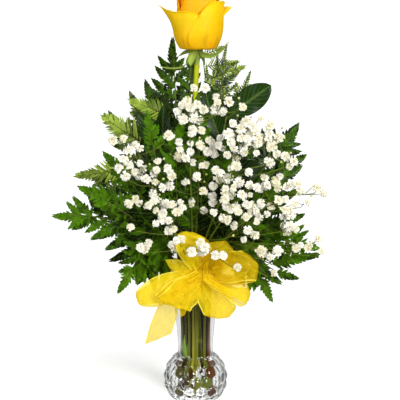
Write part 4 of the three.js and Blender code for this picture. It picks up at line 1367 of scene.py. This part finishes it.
def make_rose_stem(materials):
    """The rose's stem with its nodes, the receptacle under the bloom, and its narrow leaves."""
    shape = Shape()
    top = ROSE_BASE_Z - 0.3
    points = [*foot_and_mouth(ROSE), (-0.5, 0, 230), (-0.8, 0, 300), (0.6, 0, 350), (1.6, 0, top - 16)]
    line = smooth_line(points, 8)
    radii = np.full(len(line), ROSE_STEM_RADIUS)
    for node_z in ROSE_NODES_Z:
        radii += 0.8 * np.exp(-(((line[:, 2] - node_z) / 2.2) ** 2))
    tube(shape, line, radii, 12, 0.5, 0)
    lathe(shape, [(top + z, r) for z, r in RECEPTACLE_LINE], 18, 1)
    shape.points[-1][:, 0] += ROSE_X - 0.1
    for one in NARROW_LEAVES:
        narrow_leaf(shape, *one)
    return piece("rose_stalk", shape, materials, ["rose_stem"])


# Bow

KNOT = np.array([8.0, -34.0, 149.5])
RIBBON = 36.0
DEEPEST_PLEAT = 3.0
# How far the knot and the band round the neck are gathered, as shares of the ribbon's width
KNOT_GATHERED = 0.42
BAND_GATHERED = 0.36
# Each loop: its angle in the front view, its length and how far it opens, how it is rolled and twisted
# about its own length, how it leans forward, where it starts, and its end, which may be slanted, crowned or
# pinched
# A loop's tint makes it more see-through; from 0.5 up it also darkens it, which is painted shade, and below
# 0 it makes it denser.
LOOPS = [
    dict(angle=108, length=43, breadth=9, roll=18, twist=-14, lean=0.2, start=2,
         wide=0.92, slant=5, crown=8, sheer_and_shade=-0.6),
    dict(angle=56, length=36, breadth=12, roll=-30, twist=10, lean=0.3, start=3,
         slant=-3, crown=9, sheer_and_shade=0.7),
    dict(angle=16, length=49, breadth=10, roll=24, twist=16, lean=0.45, start=3,
         wide=0.98, slant=-3, crown=11, sheer_and_shade=0.75),
    dict(angle=-21, length=50, breadth=6, roll=66, twist=-8, lean=0.4, start=-3,
         wide=0.85, crown=4),
    dict(angle=-62, length=40, breadth=8, roll=-15, twist=10, lean=0.5, start=-1,
         slant=3.5, crown=9, sheer_and_shade=0.45),
    dict(angle=-142, length=42, breadth=9, roll=16, twist=-10, lean=0.45, start=-1.5,
         wide=0.98, slant=-8, crown=3, sheer_and_shade=0.45),
    dict(angle=199, length=72, breadth=7, roll=-30, twist=10, lean=0.16, start=0,
         wide=0.9, crown=3, pinch=0.5),
]
# Each tail: its path from the knot, the ways across it, its shares of its cut width, and that width
TAILS = [
    # The first tail's tint of 0.9 makes it more see-through and darker; the darkening is painted shade.
    dict(path=[(-4, 2.5, -3), (-19, -1, -12), (-34, -5, -27), (-42, -6, -49), (-48.5, -6, -70.5)],
         lies=[(0.6, -0.2, 0.7), (0.8, -0.2, 0.5), (0.96, -0.1, 0.2), (0.98, 0, 0.1), (0.92, 0, 0.4)],
         widths=[0.4, 0.75, 0.72, 0.84, 0.98], cut=32.0, sheer_and_shade=0.9),
    dict(path=[(-1, 1.5, -5), (-10, -3, -18), (-18, -5, -32), (-22, -5, -45)],
         lies=[(0.8, 0.3, 0.3), (0.9, 0.3, 0.3), (0.95, 0.3, 0.2), (0.9, 0.2, 0.5)],
         widths=[0.5, 0.8, 0.9, 0.3], cut=16.0),
    dict(path=[(-3, 3, 2), (-14, 1, 4), (-26, -1, 9), (-38, -2, 12)],
         lies=[(0.2, 0.1, 0.9), (0.1, 0.1, 0.95), (0.0, 0.1, 1.0), (-0.5, 0.1, 0.9)],
         widths=[0.5, 0.8, 1.0, 0.7], cut=15.0),
]
# The waves of a ribbon's creases: how many along it, and how many across
CREASES = [(2.2, 1.4), (3.7, -2.1), (1.3, 3.6), (6.3, 5.4), (5.2, -6.1)]


def make_ribbon(
    name, line, widths, lies, material, seed, ruffle, folds=3, replaces=(), cut=RIBBON,
    pleated=1.0, skew=0.0, crown=0.0, sheer_and_shade=0.0,
):
    """A strip of ribbon along a line. Where it is narrower than its cut width it lies in pleats.

    Its width is carried along by `skew`, and its middle by `crown`. Its last argument is the tint of its
    material, which makes it more see-through, and from 0.5 up darker as painted shade.
    """
    shape = Shape()
    random = seeded(seed)
    columns = 25
    v = np.linspace(-1, 1, columns)[None]
    n = len(line)
    widths = np.asarray(widths, float)[:, None]
    normal = unit(np.cross(unit(np.gradient(line, axis=0)), lies))
    s = np.linspace(0, 1, n)[:, None]
    shift = phase(random)
    pleat = 2 * np.sqrt(np.maximum(1 / widths - 1, 0)) * widths * cut / (2 * math.pi * folds)
    gathered = np.clip((0.97 - widths) / 0.3, 0, 1) * np.reshape(pleated, (-1, 1))
    waves = np.sin(math.pi * folds * v + shift + 1.2 * np.sin(3 * s))
    pleat = np.minimum(pleat, DEEPEST_PLEAT) * gathered * waves
    crease = ruffle * sum(
        mix(0.3, 0.9, random()) * np.sin(f * s * ABOUT_A_TURN + g * v + phase(random)) for f, g in CREASES
    )
    grid = (
        line[:, None]
        + lies[:, None] * (0.5 * cut * widths * v)[..., None]
        + normal[:, None] * (pleat + crease * np.minimum(widths * 1.3, 1))[..., None]
        + np.broadcast_to(skew, line.shape)[:, None] * v[..., None]
        + np.broadcast_to(crown, line.shape)[:, None] * (1 - v[..., None] ** 2)
    )
    run = float(np.linalg.norm(np.diff(line, axis=0), axis=1).sum())
    along = np.linspace(0, run / cut, n) + 7 * random()
    shape.add(grid, grid_faces(n, columns), grid_marks(v[0], along, sheer_and_shade))
    made = piece(name, shape, [material], replaces, sharp=0)
    cut * MM
    return made


def make_loop(
    name, material, seed, angle, length, breadth, roll, twist, lean, start, wide=0.95,
    slant=0.0, crown=0.0, pinch=0.0, sheer_and_shade=0.0,
):
    """A loop that leaves the knot at an angle, opens to a round end and comes back in front of itself."""
    a = math.radians(angle)
    out = np.array([math.cos(a), 0, math.sin(a)])
    across = np.array([-math.sin(a), 0, math.cos(a)])
    front = np.array([0.0, -1.0, 0.0])
    round_it = np.linspace(0.10, FULL_TURN - 0.10, 60)
    far = np.sin(round_it / 2) ** 1.15
    opening = breadth * np.sin(round_it) * ((1 - np.cos(round_it)) / 2) ** 0.7
    turn = np.radians(roll + twist * (round_it / math.pi - 1))
    cos, sin = np.cos(turn)[:, None], np.sin(turn)[:, None]
    opens = cos * front + sin * across
    lies = cos * across - sin * front
    x = length * far
    line = KNOT + out * x[:, None] - opens * opening[:, None] + front * (lean * x - start)[:, None]
    reach = np.clip(far / 0.62, 0, 1)
    widths = mix(0.46, wide, reach * reach * (3 - 2 * reach)) * (1 - pinch * far**5)
    end = out * (far**3)[:, None]
    return make_ribbon(
        name, line, widths, unit(lies), material, seed, ruffle=0.9, pleated=1 - far**3,
        skew=slant * end, crown=crown * end, sheer_and_shade=sheer_and_shade,
    )


def make_tail(name, material, seed, path, lies, widths, **how):
    line = smooth_line(KNOT + np.array(path, float), 10)
    at = np.linspace(0, len(lies) - 1, len(line))
    steps = range(len(lies))
    ways = np.stack([np.interp(at, steps, column) for column in np.array(lies, float).T], -1)
    widths = np.interp(at, steps, widths)
    return make_ribbon(name, line, widths, unit(ways), material, seed, ruffle=0.6, **how)


def make_knot(material):
    """The gathered wrap in the middle of the bow, from the vase's neck round the front and back."""
    angle = np.linspace(-1.1 * math.pi, 1.1 * math.pi, 60)
    line = KNOT + np.stack([0.6 * np.sin(angle), -3.4 * np.cos(angle) - 0.4, 6.0 * np.sin(angle)], -1)
    lies = np.tile(unit((1.0, 0.0, 0.12)), (len(line), 1))
    widths = np.full(len(line), KNOT_GATHERED)
    return make_ribbon("bow_knot", line, widths, lies, material, 77, ruffle=0.3, folds=4)


def make_neck_band(material):
    """The ribbon round the neck of the vase that ties the bow to it."""
    angle = np.linspace(-0.5 * math.pi, 1.5 * math.pi, 97)
    radius = neck_radius(KNOT[2]) + 1.3
    line = np.stack([radius * np.cos(angle), radius * np.sin(angle), np.full_like(angle, KNOT[2])], -1)
    lies = np.tile((0.0, 0.0, 1.0), (len(line), 1))
    widths = np.full(len(line), BAND_GATHERED)
    return make_ribbon(
        "bow_neck_band", line, widths, lies, material, 91, ruffle=0.15, folds=4, replaces=["bow"]
    )


def make_bow(material):
    for k, one in enumerate(LOOPS):
        make_loop(f"bow_loop_{k + 1}", material, 501 + 13 * k, **one)
    for k, one in enumerate(TAILS):
        make_tail(f"bow_tail_{k + 1}", material, 601 + 13 * k, **one)
    make_knot(material)
    make_neck_band(material)


# All pieces


def seeded_plants(table, first_seed):
    """Each plant of a table with its own seed, and how old its stem looks in the vase."""
    for k, (name, plant) in enumerate(table.items()):
        yield name, {"seed": first_seed + 17 * k, "age": (0.2, 0.9, 0.5, 1.0, 0.35)[k % 5], **plant}


def make_all():
    make_vase(clear_material("clear_glass", 1.5, (0.97, 0.985, 0.98, 1), 30))
    make_water(clear_material("clear_water", 1.333, (0.985, 0.995, 0.99, 1), 20))
    make_rose(petal_material())
    rose_stalk = stalk_material("rose_stalk", "6a8404", "b2b610", "8c7c10", green="74b414")
    sepal = leaf_material("rose_sepal", "5a7a18", "94aa3c", "b4be5c", 0.45, 4)
    make_rose_stem([rose_stalk, sepal])
    dark = leaf_material("dark_fern", "020b00", "4c7a04", "587e14", 0.24, 3, shine=0.12)
    light = leaf_material("light_fern", "0a2400", "9ab23c", "3c6818", 0.34, 3, glow=0.15, shine=0.22)
    rib = stalk_material("fern_rachis", "2c1c08", "5c7320", "5c3012", 0.4)
    for name, plant in seeded_plants(FRONDS, 101):
        make_frond(name, plant, [light if plant["slot"] == LIGHT else dark, rib])
    glossy = leaf_material("glossy_leaf", "051200", "1a3606", "6a8a38", 0.2, 9, shine=0.4)
    woody = stalk_material("leaf_stalk", "3c1c0c", "66742a", "54240e", 0.42)
    for name, plant in seeded_plants(SPRIGS, 401):
        make_sprig(name, plant, [glossy, woody])
    floret = floret_material()
    calyx = leaf_material("floret_calyx", "5c6c20", "98a244", "b0b862", 0.5, 4)
    twigs = stalk_material("gypsophila_twig", "303c0c", "68781e", "8c8418", 0.5)
    forms = [floret_form(31 + 7 * k) for k in range(6)]
    bud = bud_form()
    for name, plant in seeded_plants(SPRAYS, 701):
        make_spray(name, plant, [floret, calyx, twigs], forms, bud)
    make_bow(organza_material())


def render_settings():
    """Plain colours, and enough bounces for the glass, the water and the layers of organza."""
    scene = bpy.context.scene
    scene.view_settings.view_transform = "Standard"
    scene.view_settings.look = "None"
    scene.cycles.use_denoising = True
    scene.cycles.transparent_max_bounces = 24
    scene.cycles.max_bounces = 14
    scene.cycles.transmission_bounces = 12
    scene.cycles.glossy_bounces = 5
    scene.cycles.caustics_reflective = False


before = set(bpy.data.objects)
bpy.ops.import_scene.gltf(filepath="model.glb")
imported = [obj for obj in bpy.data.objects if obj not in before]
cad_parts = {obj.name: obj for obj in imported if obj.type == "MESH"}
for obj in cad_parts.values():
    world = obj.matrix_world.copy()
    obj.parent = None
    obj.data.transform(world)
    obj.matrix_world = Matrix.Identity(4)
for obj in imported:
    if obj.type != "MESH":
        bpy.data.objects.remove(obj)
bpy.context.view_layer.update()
make_camera()
render_settings()
make_world()
make_lights()
make_floor()
make_all()
